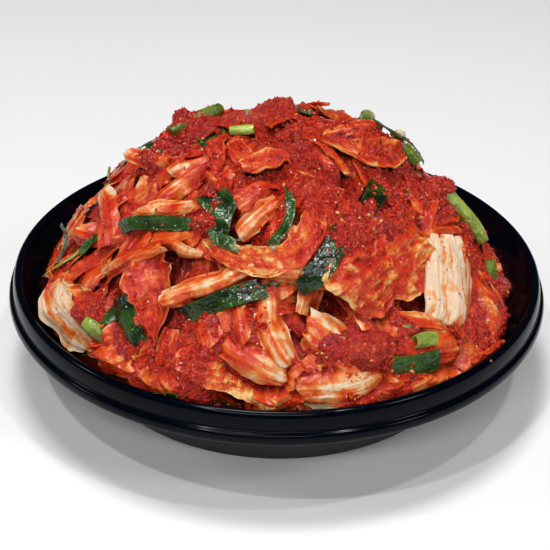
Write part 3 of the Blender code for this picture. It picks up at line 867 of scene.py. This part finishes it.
STEM = Kind(2.8 * MM, crown=0.35, margin=0.3, curl=-0.28, ribs=4, rib=0.45 * MM, ruffle=1.6 * MM, limp=0.3,
            crumple=0.7 * MM, crumple_size=8 * MM)
LEAF = Kind(1.0 * MM, crown=0.3, curl=0.28, crumple=2.8 * MM, crumple_size=7 * MM, ruffle=2.2 * MM, limp=0.5, torn=0.4)
GREEN = Kind(0.6 * MM, crown=0.1, fold=0.2, crumple=0.4 * MM, crumple_size=14 * MM, ruffle=0.4 * MM, limp=0.45,
             slant=0.5)
THREAD = Kind(1.6 * MM, crown=0.6, limp=0.5, side_step=0.8 * MM)

# Small pieces that fill the pile: kind, how many in each layer, length, half width, how clean, how bent.
FILLING = [
    ("stem", STEM, 85, (26, 62), (2.4, 7.5), (0.0, 0.50), 14),
    ("leaf", LEAF, 62, (28, 56), (3.5, 8.5), (0.0, 0.40), 14),
    ("green", GREEN, 12, (18, 38), (2.2, 4.4), (0.0, 0.4), 18),
    ("thread", THREAD, 22, (18, 36), (0.9, 1.5), (0.1, 0.6), 30),
]
LAYERS = [(-8 * MM, 1.0), (-4.0 * MM, 1.0), (0.5 * MM, 0.85)]
FILL_SEED = 5
ALONG_WALL = math.sin(math.radians(11))  # pieces lower than this lie along the bowl's wall


FULL_FRONT = (60, 74)  # azimuths between which it fades
FULL_LOW = (math.sin(math.radians(7)), math.sin(math.radians(19)))
MOST_FULL = 17 * MM


def front_fullness(outs):
    """How far the food swells past the heap's own outline, low down at the front, until it meets the wall."""
    azimuth = np.degrees(np.abs(np.arctan2(outs[..., 0], -outs[..., 1])))
    front = 1.0 - smooth_step(azimuth, *FULL_FRONT)
    low = 1.0 - smooth_step(outs[..., 2], *FULL_LOW)
    level = np.maximum(np.hypot(outs[..., 0], outs[..., 1]), 0.1)
    room = wall_radius(RIM_TOP) / level - dome.read(outs, HEAP)
    return front * low * np.clip(room, 0.0, MOST_FULL)


def fill_layer(depth, amount, batches, numbers):
    """Lays one layer of small pieces, none of them more than a little above the heap's own outline."""
    chance = np.random.default_rng(FILL_SEED + numbers[0])
    weights = open_directions().ravel()
    weights /= weights.sum()
    queue = [entry for entry in FILLING for _ in range(int(entry[2] * amount))]
    chance.shuffle(queue)
    for name, kind, _, lengths, halves, cleans, bend in queue:
        cell = chance.choice(len(weights), p=weights)
        out = dome.outs.reshape(-1, 3)[cell]
        reach = float(dome.read(out))
        heading = chance.normal(0.0, 0.75) if chance.random() < 0.7 else chance.uniform(-math.pi, math.pi)
        if out[2] < ALONG_WALL:
            heading = math.pi / 2 + 0.25 * heading
        patch = Patch(out, heading, reach)
        length = chance.uniform(*lengths) * MM
        widest = chance.uniform(*halves) * MM
        turn = math.radians(chance.normal(0.0, bend)) / (10 * MM)
        along = np.linspace(-length / 2, length / 2, max(int(length / kind.step), 6))
        line = np.stack([along, turn * along**2 / 2], -1)
        share = np.linspace(0.0, 1.0, len(along))
        ends = chance.uniform(0.25, 0.95, 2)
        edge = ends[0] + (ends[1] - ends[0]) * share
        half = widest * (edge + (1 - edge) * np.minimum(1.0, 1.7 * (1 - (2 * share - 1) ** 2)))
        if chance.random() < 0.4:
            kind = replace(kind, curl=-kind.curl, fold=-kind.fold)
        numbers[0] += 1
        allow = depth + chance.uniform(-2.0, 2.0) * MM
        ceiling = lambda outs: dome.read(outs, HEAP) + allow + front_fullness(outs) - gap_depth(outs)
        raised = chance.uniform(1.0, 6.0, 2) * MM * (chance.random(2) < 0.3)
        upper, lower, marks, bare, seen = lay_strip(dome, patch, line, half, kind, numbers[0], ceiling,
                                                    raised=raised)
        if seen > 0.3:
            batches[name].add(*closed(upper, lower, marks, bare), chance.uniform(*cleans))
            dome.lay(upper)


# Large pieces whose finish isn't their kind's usual one: how clean they are, and what else differs.
CLEAN = {
    "slab_white_right": 1.1, "stem_white_left": 0.8, "slab_rim_front": 0.85, "slab_front_middle": 0.45,
    "slab_low_right": 0.4, "stem_long_front": 0.5, "stem_ribbed_front": 0.5, "stem_short_top": 0.6,
    "stem_top_right": 0.55, "stem_front_forked": 0.6, "stem_front_short": 0.7, "stem_front_left": 0.45,
    "stem_left_middle": 0.5, "stem_left_upper": 0.2, "stem_left_lower": 0.15, "stem_jutting_left": 0.35,
    "stem_white_top_right": 1.0, "leaf_cream_curled": 0.3, "leaf_frilly_right": 0.28,
    "leaf_orange_top": 0.4, "leaf_pointed_left": 0.3, "slab_back": 0.7, "stem_back_left": 0.4,
    "leaf_green_folded_top": 0.1, "leaf_green_middle": 0.15, "leaf_green_large": 0.0,
    "leaf_green_narrow_left": 0.25, "chive_middle": 0.35, "leaf_green_small_middle": 0.45,
    "leaf_flecked_right": 0.0, "leaf_green_front": 0.05, "leaf_green_two_faced": 0.15,
    "scallion_right": 0.6, "scallion_bit_right": 0.7, "scallion_low_left": 0.5, "scallion_yellow_top": 0.9,
    "scallion_right_wall": 0.2, "scallion_top_left": 0.1, "scallion_top_right": 0.2,
}
FINE = dict(step=1.1 * MM, side_step=0.9 * MM)
HERO_KINDS = {
    "cabbage_stem": replace(STEM, thick=2.4 * MM, ribs=4, rib=0.26 * MM, ruffle=1.5 * MM, crumple=0.7 * MM,
                            fray=3 * MM, torn=0.25, **FINE),
    "cabbage_leaf": replace(LEAF, crumple=1.6 * MM, crumple_size=7 * MM, ruffle=1.8 * MM, **FINE),
    "onion_leaf": replace(GREEN, crumple=0.35 * MM, slant=0.35, **FINE),
    "chilli_paste": Kind(5 * MM, crown=0.75, crumple=0.9 * MM, crumple_size=5 * MM, grain=1.0 * MM, **FINE),
}
SPECIAL = {
    "slab_white_right": dict(thick=4 * MM, ribs=3, rib=0.2 * MM, curl=-0.04, margin=0.1, fray=10 * MM, slant=0.1, torn=0.1,
                             taper=(0.95, 1.3)),
    "slab_rim_front": dict(ribs=2, rib=0.1 * MM, curl=-0.04, slant=0.1, torn=0.1, taper=(1.3, 1.3)),
    "stem_white_left": dict(ribs=1, rib=0.3 * MM, curl=0.5, margin=0.25),
    "leaf_frilly_right": dict(crumple=2.8 * MM, crumple_size=7 * MM, ruffle=1.6 * MM, torn=0.3, curl=0.0),
    "leaf_cream_curled": dict(crumple=1.4 * MM, crumple_size=5 * MM, curl=0.3, taper=(0.75, 0.75)),
    "stem_long_front": dict(lift=1.5 * MM, curl=-0.4),
    "slab_low_right": dict(lift=1.0 * MM),
    "leaf_green_two_faced": dict(fold=-0.35, lift=1.0 * MM, taper=(1.2, 1.2)),
    "leaf_pointed_left": dict(fold=0.5),
    "leaf_green_large": dict(fold=-0.12),
    "leaf_green_front": dict(fold=0.15),
    "leaf_green_folded_top": dict(fold=-0.3),
}


ON_TOP = ["stem_long_front", "leaf_green_large", "leaf_green_front", "chive_middle"]  # laid last, in this order


def large_piece(name, number):
    """Lays one of the large pieces along its own solid's route."""
    slot = SLOTS[name]
    patch, line, half, top = traced(name)
    clean = CLEAN.get(name, 0.4)
    if slot == "onion_leaf":
        half = np.maximum(half, np.median(half)) * 0.9
    if slot == "cabbage_stem":
        half = np.maximum(half, 0.75 * np.median(half))
    if slot == "onion_stalk":
        line, half = resampled(line, half, 1.2 * MM)
        return stalk(patch, line, half, top, number, clean)
    kind = replace(HERO_KINDS[slot], **SPECIAL.get(name, {}))
    line, half = resampled(line, half, kind.step)
    half = half * np.linspace(*kind.taper, len(half))
    upper, lower, marks, bare, _ = lay_strip(dome, patch, line, half, kind, number, top=top)
    dome.lay(upper)
    return *closed(upper, lower, marks, bare), clean


def stalk(patch, line, half, top, number, clean):
    """A hollow onion stalk, cut square at both ends."""
    outs = patch.outs(line)
    reach = top(outs[:, None])[:, 0]
    reach = blur(reach[:, None], 4.0, axes=(0,))[:, 0]
    radius = np.minimum(half, 4.6 * MM)
    radius = radius * (1 + 0.05 * noise(np.stack([line[:, 0], line[:, 1], line[:, 0] * 0 + number], -1), 8 * MM))
    centres = inside_bowl(CENTRE + outs * (reach - 0.85 * radius)[:, None], 5 * MM)
    ahead = unit(np.gradient(centres, axis=0))
    sides = unit(np.cross(ahead, outs))
    ups = np.cross(sides, ahead)
    points, faces = tube(centres, sides, ups, radius, 0.9 * MM)
    rows, around = len(line), len(points) // len(line) // 2
    s, turn = np.meshgrid(np.arange(rows) * 1.2 * MM, np.arange(around) * 1.5 * MM, indexing="ij")
    marks = np.stack([s, turn, np.full_like(s, number * 0.37)], -1).reshape(-1, 3)
    arch = np.stack([centres + sides * (radius * x)[:, None] + ups * (radius * 0.8 * y)[:, None]
                     for x, y in ((-0.9, 0.3), (-0.5, 0.8), (0.0, 1.0), (0.5, 0.8), (0.9, 0.3))], 1)
    dome.lay(arch)
    return points, faces, np.concatenate([marks] * 2), np.zeros(len(points)), clean


# Paste

# Where the paste lies thick or is missing: azimuth, elevation, half width, and by how much.
PASTE_SPOTS = [
    (-88, 53, 3.5, 4.0), (-80, 47, 3.5, 3.0), (-36, 51, 3.5, 4.0), (-27, 41, 3.0, 4.0), (-100, 66, 3.0, 4.5),
    (26, 74, 4, 3.0), (75, 33, 4, 3.5), (92, 30, 4, 3.5), (40, 38, 4, 3.5), (22, 37, 4, 3.0), (62, 44, 4, 3.0),
    (-44, 42, 2.5, 3.0), (30, 18, 3.5, 3.0), (-47, 12, 2.5, 3.0), (-4, 15, 4, 2.5), (62, 5, 4, 3.5),
    (-170, 78, 14, 3.5), (20, 74, 12, 2.2), (-110, 80, 12, 2.2), (100, 70, 14, 1.5), (-54, 66, 9, 1.4),
    (-86, 52, 7, 2.2), (-92, 58, 6, 2.2), (-35, 50, 6, 2.2), (-27, 41, 5, 2.2), (-21, 56, 9, 1.4),
    (16, 55, 10, 2.4), (33, 54, 10, 2.6), (66, 50, 12, 2.8), (28, 38, 7, 2.4), (20, 36, 6, 2.0),
    (34, 40, 6, 1.6), (-6, 44, 6, 2.2), (52, 40, 9, 2.4), (78, 38, 9, 2.6), (84, 30, 8, 2.0),
    (71, 16, 7, 2.4), (77, 6, 7, 2.2), (56, 6, 7, 2.0), (-16, 16, 7, 2.4), (-20, 9, 6, 2.2),
    (-14, 3, 5, 2.0), (-4, 20, 4, 1.6), (-4, 10, 6, -3.6), (13, 14, 8, 1.0), (24, 13, 7, 2.2), (33, 15, 6, 1.8),
    (40, 6, 7, -2.6), (-36, 6, 6, 1.4), (-50, 13, 4, 1.0), (-100, 40, 12, 1.2),
    (130, 50, 16, 1.8), (-150, 45, 16, 1.6), (175, 30, 14, 1.6), (-120, 15, 12, 1.2), (120, 20, 14, 1.4),
    (-49, 11, 3, 9.0), (-96, 61, 3, 6.0), (-140, 63, 3, 5.0), (30, 33, 4, 2.0), (36, 27, 3, 2.5), (28, 25, 3, 2.0),
    (51, 7, 4, 6.0), (66, 18, 4, 4.0), (12, 13, 4, 4.0), (20, 11, 4, 5.0), (14, 5, 3, 3.0),
    (54, 19, 9, -4.0), (33, 29, 12, -1.8), (-54, 8, 7, -3.0), (-8, 30, 12, -1.6), (-45, 35, 12, -1.4),
    (10, 6, 7, -2.4), (-2, 36, 8, -1.2), (-10, 47, 5, -1.8), (3, 20, 6, -1.2), (-40, 22, 9, -1.2),
]
PASTE_LEVEL = -2.3 * MM  # how far the paste's surface lies below the smoothed pile where nothing adds to it
MOST_PASTE = 2.0 * MM


def paste_amount(outs):
    """How thick the paste lies, in millimetres over its usual level."""
    amount = 1.9 * layered(outs * 0.1, 13 * MM, 51, 3)
    for azimuth, elevation, width, height in PASTE_SPOTS:
        apart = np.arccos(np.clip(outs @ direction(azimuth, elevation), -1, 1))
        amount = amount + height * np.exp(-((apart / math.radians(width)) ** 2))
    return amount


def paste_skin():
    """The paste over the pile: a grainy skin that fills the hollows, with the crests left bare."""
    pile = dome.reach
    smooth = blur(pile, 3.2)
    spots = CENTRE + dome.outs * smooth[..., None]
    amount = paste_amount(dome.outs) * MM
    lumps = 2.1 * MM * layered(spots, 6 * MM, 61, 2)
    coarse = 2.6 * MM * (0.5 - grains(spots, 3.2 * MM, 71))
    amount = amount - 0.5 * gap_depth(dome.outs)
    level = np.minimum(smooth + PASTE_LEVEL + amount, pile + MOST_PASTE + 1.2 * np.maximum(amount, 0.0))
    level = blur(level, 0.8) + lumps + coarse * smooth_step(amount, -1.5 * MM, 1.0 * MM)
    return level, amount


def grid_mesh(level, keep):
    """Points and faces of the cells of the dome map that are kept."""
    corners = keep[:-1, :-1] | keep[:-1, 1:] | keep[1:, :-1] | keep[1:, 1:]
    rows, columns = np.nonzero(corners)
    number = np.full(level.shape, -1)
    used = np.zeros(level.shape, bool)
    for i, j in ((0, 0), (0, 1), (1, 0), (1, 1)):
        used[rows + i, columns + j] = True
    number[used] = np.arange(used.sum())
    points = inside_bowl(CENTRE + dome.outs[used] * level[used][:, None])
    faces = np.stack([number[rows, columns], number[rows, columns + 1],
                      number[rows + 1, columns + 1], number[rows + 1, columns]], -1)
    return points, faces


def flakes(level, amount, count, sizes, seed):
    """Loose chips of chilli on top of all: small uneven lumps, each a closed shell."""
    chance = np.random.default_rng(seed)
    surface = np.maximum(dome.reach, level)
    groups = smooth_step(layered(dome.outs * 0.1, 6 * MM, seed, 2), -0.25, 0.45)
    pasted = smooth_step(level - dome.reach, -1.5 * MM, 0.2 * MM)
    weights = (open_directions() * (0.04 + groups) * (0.03 + pasted)).ravel()
    cells = chance.choice(len(weights), count, p=weights / weights.sum())
    outs = dome.outs.reshape(-1, 3)[cells]
    centres = CENTRE + outs * (surface.ravel()[cells] + 0.15 * MM)[:, None]
    shape = np.array([(1, 0, 0), (-1, 0, 0), (0, 1, 0), (0, -1, 0), (0, 0, 1), (0, 0, -1)], float)
    sides = [(0, 2, 4), (2, 1, 4), (1, 3, 4), (3, 0, 4), (2, 0, 5), (1, 2, 5), (3, 1, 5), (0, 3, 5)]
    axes = unit(chance.normal(size=(count, 3)))
    second = unit(np.cross(axes, outs + 0.01))
    third = np.cross(axes, second)
    size = chance.uniform(*sizes, size=(count, 1)) * MM / 2
    frames = np.stack([axes * size, second * size * chance.uniform(0.5, 0.9, (count, 1)),
                       third * size * chance.uniform(0.3, 0.6, (count, 1))], 1)
    jitter = shape[None] * chance.uniform(0.7, 1.2, (count, 6, 1)) + chance.uniform(-0.15, 0.15, (count, 6, 3))
    points = centres[:, None] + np.einsum("nij,njk->nik", jitter, frames)
    faces = np.arange(count)[:, None, None] * 6 + np.array(sides)[None]
    return inside_bowl(points.reshape(-1, 3)), faces.reshape(-1, 3)


SPECK_AZIMUTH = math.radians(47)
SPECK_SIZE = np.array([0.8, 0.55, 0.35]) * MM  # half its length, width and height


def speck():
    """The speck of sauce on the outer edge of the rim: a small flat lump."""
    turns, rises = np.meshgrid(np.linspace(0, 2 * np.pi, 10, endpoint=False), np.linspace(-1.2, 1.2, 6))
    ball = np.stack([np.cos(turns) * np.cos(rises), np.sin(turns) * np.cos(rises), np.sin(rises)], -1)
    lump = ball * SPECK_SIZE * (1 + 0.2 * noise(ball * 3.0, 1.0, 4))[..., None]
    (radius, height), (inner_radius, inner_height) = OUTLINE[CREST - 2], OUTLINE[CREST - 1]
    out = np.array([math.sin(SPECK_AZIMUTH), -math.cos(SPECK_AZIMUTH), 0.0])
    level = np.cross(UP, out)
    normal = unit(out * (inner_height - height) + UP * (radius - inner_radius))
    middle = out * (radius + inner_radius) / 2 + UP * (height + inner_height) / 2
    points = middle + lump @ np.stack([level, np.cross(normal, level), normal])
    rows, around = turns.shape
    number = np.arange(rows * around).reshape(rows, around)
    after = np.roll(number, -1, axis=1)
    quads = np.stack([number[:-1], after[:-1], after[1:], number[1:]], -1).reshape(-1, 4).tolist()
    return points.reshape(-1, 3), quads + [number[0, ::-1].tolist(), number[-1].tolist()]


def core():
    """What is under the pieces: a closed form of red paste from the floor up, painted dark as shade where it is made.
    """
    rings, around = 110, 300
    turn = np.linspace(0, 2 * np.pi, around, endpoint=False)
    lowest = math.radians(97.0)
    away = np.linspace(0.0, 1.0, rings)[1:] * lowest
    away, turn = np.meshgrid(away, turn, indexing="ij")
    outs = np.stack([np.sin(away) * np.sin(turn), -np.sin(away) * np.cos(turn), np.cos(away)], -1)
    reach = dome.read(outs, blur(HEAP, 3.0)) - CORE_DEPTH + front_fullness(outs)
    reach = reach + 1.2 * MM * layered(outs * 0.1, 7 * MM, 81, 3)
    rows = inside_bowl(CENTRE + outs * reach[..., None], 1.2 * MM)
    foot = rows[-1] * (0.8, 0.8, 0.0) + UP * (INSIDE[0][0] + 1 * MM)
    points = np.concatenate([[CENTRE + UP * float(dome.read(UP, HEAP) - CORE_DEPTH)], rows.reshape(-1, 3), foot,
                             [UP * (INSIDE[0][0] + 1 * MM)]])
    number = 1 + np.arange(rings * around).reshape(rings, around)
    after = np.roll(number, -1, axis=1)
    quads = np.stack([number[:-1], number[1:], after[1:], after[:-1]], -1).reshape(-1, 4).tolist()
    fans = [(0, int(a), int(b)) for a, b in zip(number[0], after[0])]
    last = len(points) - 1
    fans += [(last, int(b), int(a)) for a, b in zip(number[-1], after[-1])]
    return points, quads + fans


# The bowl


def rounded(outline, rounds=2):
    """The outline with its corners cut off again and again, which makes them round."""
    points = np.array(outline)
    for _ in range(rounds):
        near, far = points[:-1], points[1:]
        cut = np.stack([near * 0.75 + far * 0.25, near * 0.25 + far * 0.75], 1).reshape(-1, 2)
        points = np.concatenate([points[:1], cut, points[-1:]])
    return points


def bowl_mesh():
    """The bowl turned from its outline: its points and faces, the rounded outline, and how many steps go round."""
    around = 200
    profile = rounded(OUTLINE)
    turn = np.linspace(0, 2 * np.pi, around, endpoint=False)
    radius, height = profile[1:-1, 0][:, None], profile[1:-1, 1][:, None]
    rows = np.stack([radius * np.sin(turn), -radius * np.cos(turn), height + 0 * turn], -1)
    count = len(rows)
    points = np.concatenate([[(0, 0, profile[0, 1])], rows.reshape(-1, 3), [(0, 0, profile[-1, 1])]])
    number = 1 + np.arange(count * around).reshape(count, around)
    after = np.roll(number, -1, axis=1)
    quads = np.stack([number[:-1], after[:-1], after[1:], number[1:]], -1).reshape(-1, 4)
    fans = [(0, int(b), int(a)) for a, b in zip(number[0], after[0])]
    fans += [(len(points) - 1, int(a), int(b)) for a, b in zip(number[-1], after[-1])]
    return points, quads, fans, profile, around


def build_bowl():
    points, quads, fans, profile, around = bowl_mesh()
    gloss = bowl_material("bowl_gloss", (0.0004, 0.0013, 0.0036), 0.08, True)
    matt = bowl_material("bowl_wall_matt", (0.026, 0.028, 0.029), 0.55, False)
    crest = int(np.argmax(profile[:, 1]))
    step = np.repeat(np.arange(len(profile) - 3), around)
    wall = min(i for i in range(crest) if profile[i, 0] > profile[:, 0].max() - 2.6 * MM)
    # Smears fade from the food's edge up the inside of the wall.
    radius = np.hypot(points[:, 0], points[:, 1])
    within = (radius < wall_radius(points[:, 2]) + 1.0 * MM) & (points[:, 2] < RIM_TOP - 5 * MM)
    smear = np.where(within, 1.0 - smooth_step(points[:, 2], RIM_TOP - 22 * MM, RIM_TOP - 3 * MM), 0.0)
    looks = np.stack([smear, smear, smear, smear * 0 + 1], -1)
    bowl = make_object("bowl_turned", points, quads.tolist() + fans, [gloss, matt], looks, sharp=60)
    index = np.concatenate([np.where(step < wall, 1, 0), [1] * around, [0] * around]).astype(np.int32)
    bowl.data.polygons.foreach_set("material_index", index)
    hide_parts("bowl")


# Everything together

SMALL = {"stem": "cabbage_stem", "leaf": "cabbage_leaf", "green": "onion_leaf", "thread": "onion_stalk"}
small = {name: Batch() for name in SMALL}
numbers = [0]
dome.reach = np.maximum(blur(HEAP, 3.0) - CORE_DEPTH + front_fullness(dome.outs), 0.0)
for depth, amount in LAYERS:
    fill_layer(depth, amount, small, numbers)

large = {}
laid = [part["node"] for part in frame["record"]["subparts"] if part["node"] not in ("bowl", "kimchi_heap")]
for name in sorted(laid, key=lambda node: ON_TOP.index(node) if node in ON_TOP else -1):
    numbers[0] += 1
    large[name] = large_piece(name, numbers[0])

level, amount = paste_skin()
smoothed = blur(dome.reach, 4.0)


FILM = 0.85  # how stained the food is where nothing else tells


def buried_by(points):
    """How far points lie under the pile's smoothed surface, in metres."""
    away = points - CENTRE
    reach = np.linalg.norm(away, axis=-1)
    return dome.read(away / reach[:, None], smoothed) - reach


def shade_and_juice_in_depth(points):
    """Painted shade, with some juice: from 0 at the pile's surface to 1 in its depth."""
    return smooth_step(buried_by(points), 0.8 * MM, 5.5 * MM)


def looks_of(points, bare, clean):
    """Vertex colours: how clean a piece is, how much paste lies on it, and its own shade; alpha is bareness."""
    outs = unit(points - CENTRE)
    buried = buried_by(points) / (3.5 * MM)
    film = FILM + 0.07 * paste_amount(outs) + 0.25 * buried + 0.14 * noise(points, 11 * MM, 91) - 0.22 * bare
    tone = lattice(np.round(clean * 1e6).astype(np.int64), 0, 0, 3)
    return np.stack([np.clip(clean / 1.3, 0, 1), np.clip(film, 0, 1), tone, np.clip(bare, 0, 1)], -1)


MATERIALS = {
    "cabbage_stem": cabbage_material("cabbage_stem_stained", STEM_STOPS, 0.07, 0.16, 0.4, 0.3),
    "cabbage_leaf": cabbage_material("cabbage_leaf_stained", LEAF_STOPS, 0.22, 0.26, 0.8, 0.7),
    "onion_leaf": green_material("onion_leaf_wet", (0.003, 0.010, 0.003), (0.06, 0.16, 0.018)),
    "onion_stalk": green_material("onion_stalk_wet", (0.07, 0.10, 0.009), (0.42, 0.54, 0.09)),
    "chilli_paste": paste_material("chilli_paste_wet"),
}

# Pieces are darkened deep in the pile: painted shade, with some juice.
for name, slot in SMALL.items():
    batch = small[name]
    points, bare, clean = (np.concatenate(part) for part in (batch.points, batch.bare, batch.clean))
    made = make_object("small_" + name, points, np.concatenate(batch.faces), [MATERIALS[slot]],
                       looks_of(points, bare, clean), np.concatenate(batch.marks), shade_and_juice_in_depth(points))

for name, (points, faces, marks, bare, clean) in large.items():
    looks = looks_of(points, bare, np.full(len(points), clean))
    made = make_object(name + "_piece", points, faces, [MATERIALS[SLOTS[name]]], looks, marks, shade_and_juice_in_depth(points))
    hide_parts(name)

points, faces = core()
# The core is darkened almost fully: painted shade, with some juice.
made = make_object("pile_core", points, faces, [MATERIALS["chilli_paste"]], juice_and_depth_shade=np.full(len(points), 0.9))
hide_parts("kimchi_heap")

keep = (level > dome.reach - 0.3 * MM) & (open_directions() > 0)
points, faces = grid_mesh(level, keep)
# The paste skin is darkened where it lies deep: painted shade, with some juice.
made = make_object("paste_skin", points, faces, [MATERIALS["chilli_paste"]], juice_and_depth_shade=shade_and_juice_in_depth(points), sharp=80)

points, faces = flakes(level, amount, 9000, (0.9, 2.2), 17)
red_chips = chip_material("chilli_chips_wet", (0.38, 0.010, 0.005), (0.66, 0.045, 0.012))
made = make_object("chilli_flakes", points, faces, [red_chips], sharp=35)

points, faces = flakes(level, amount, 130, (1.8, 2.6), 29)
made = make_object("chilli_seeds", points, faces, [chip_material("chilli_seeds_wet", (0.70, 0.30, 0.06), (0.80, 0.52, 0.20))])

made = make_object("rim_speck", *speck(), [chip_material("rim_speck_wet", (0.34, 0.08, 0.015), (0.45, 0.14, 0.03))])

build_bowl()

# Floor, light and camera


def studio():
    floor_size = 3.0
    half = floor_size / 2
    corners = [(-half, -half, 0), (half, -half, 0), (half, half, 0), (-half, half, 0)]
    data = bpy.data.meshes.new("floor")
    data.from_pydata(corners, [], [(0, 1, 2, 3)])
    floor = bpy.data.objects.new("floor", data)
    bpy.context.scene.collection.objects.link(floor)
    nodes = Nodes("floor_pale")
    tint = nodes.ramp(nodes.noise(0.5, 2.0), [(0.3, (0.84, 0.84, 0.84)), (0.7, (0.87, 0.87, 0.87))])
    data.materials.append(nodes.finish(tint, 0.6))

    world = bpy.data.worlds.new("soft_world")
    world.use_nodes = True
    world.node_tree.nodes["Background"].inputs["Color"].default_value = (1.0, 1.0, 1.0, 1.0)
    world.node_tree.nodes["Background"].inputs["Strength"].default_value = 0.04
    bpy.context.scene.world = world

    for name, place, size, power in (
        ("overhead", (-0.15, 0.15, 1.9), (0.55, 0.45), 19.5),
        ("front", (-0.15, -1.65, 1.5), (1.30, 0.12), 16.0),
        ("left", (-1.9, -0.2, 1.2), (0.3, 0.3), 5.0),
        ("right", (1.6, -1.0, 1.6), (0.45, 0.45), 10.0),
        ("sparkle", (-0.55, -0.65, 1.7), (0.06, 0.06), 6.0),
        ("sparkle_right", (0.50, -0.35, 1.8), (0.06, 0.06), 4.5),
    ):
        lamp = bpy.data.lights.new(name, "AREA")
        lamp.shape, lamp.size, lamp.size_y, lamp.energy = "RECTANGLE", size[0], size[1], power
        holder = bpy.data.objects.new(name, lamp)
        holder.location = place
        holder.rotation_euler = (Vector((0, 0, 0.06)) - Vector(place)).to_track_quat("-Z", "Y").to_euler()
        bpy.context.scene.collection.objects.link(holder)


CAMERA_DISTANCE = 0.620
CAMERA_ELEVATION = math.radians(30.19)
CAMERA_ROLL = math.radians(1.17)
CAMERA_LENS = 76.9
CAMERA_SHIFT = (-0.0044, -0.0382)


def camera():
    back = Vector((0.0, -math.cos(CAMERA_ELEVATION), math.sin(CAMERA_ELEVATION)))
    level, rise = Vector((1.0, 0.0, 0.0)), Vector((0.0, math.sin(CAMERA_ELEVATION), math.cos(CAMERA_ELEVATION)))
    right = level * math.cos(CAMERA_ROLL) + rise * math.sin(CAMERA_ROLL)
    up = rise * math.cos(CAMERA_ROLL) - level * math.sin(CAMERA_ROLL)
    place = Vector((0.0, 0.0, RIM_TOP)) + back * CAMERA_DISTANCE
    data = bpy.data.cameras.new("camera")
    data.lens, data.sensor_width, data.clip_start = CAMERA_LENS, 36.0, 0.01
    data.shift_x, data.shift_y = CAMERA_SHIFT
    holder = bpy.data.objects.new("camera", data)
    turned = Matrix((right, up, back)).transposed().to_4x4()
    holder.matrix_world = Matrix.Translation(place) @ turned
    bpy.context.scene.collection.objects.link(holder)
    bpy.context.scene.camera = holder


studio()
camera()
bpy.context.scene.view_settings.view_transform = "Standard"

bpy.context.view_layer.update()
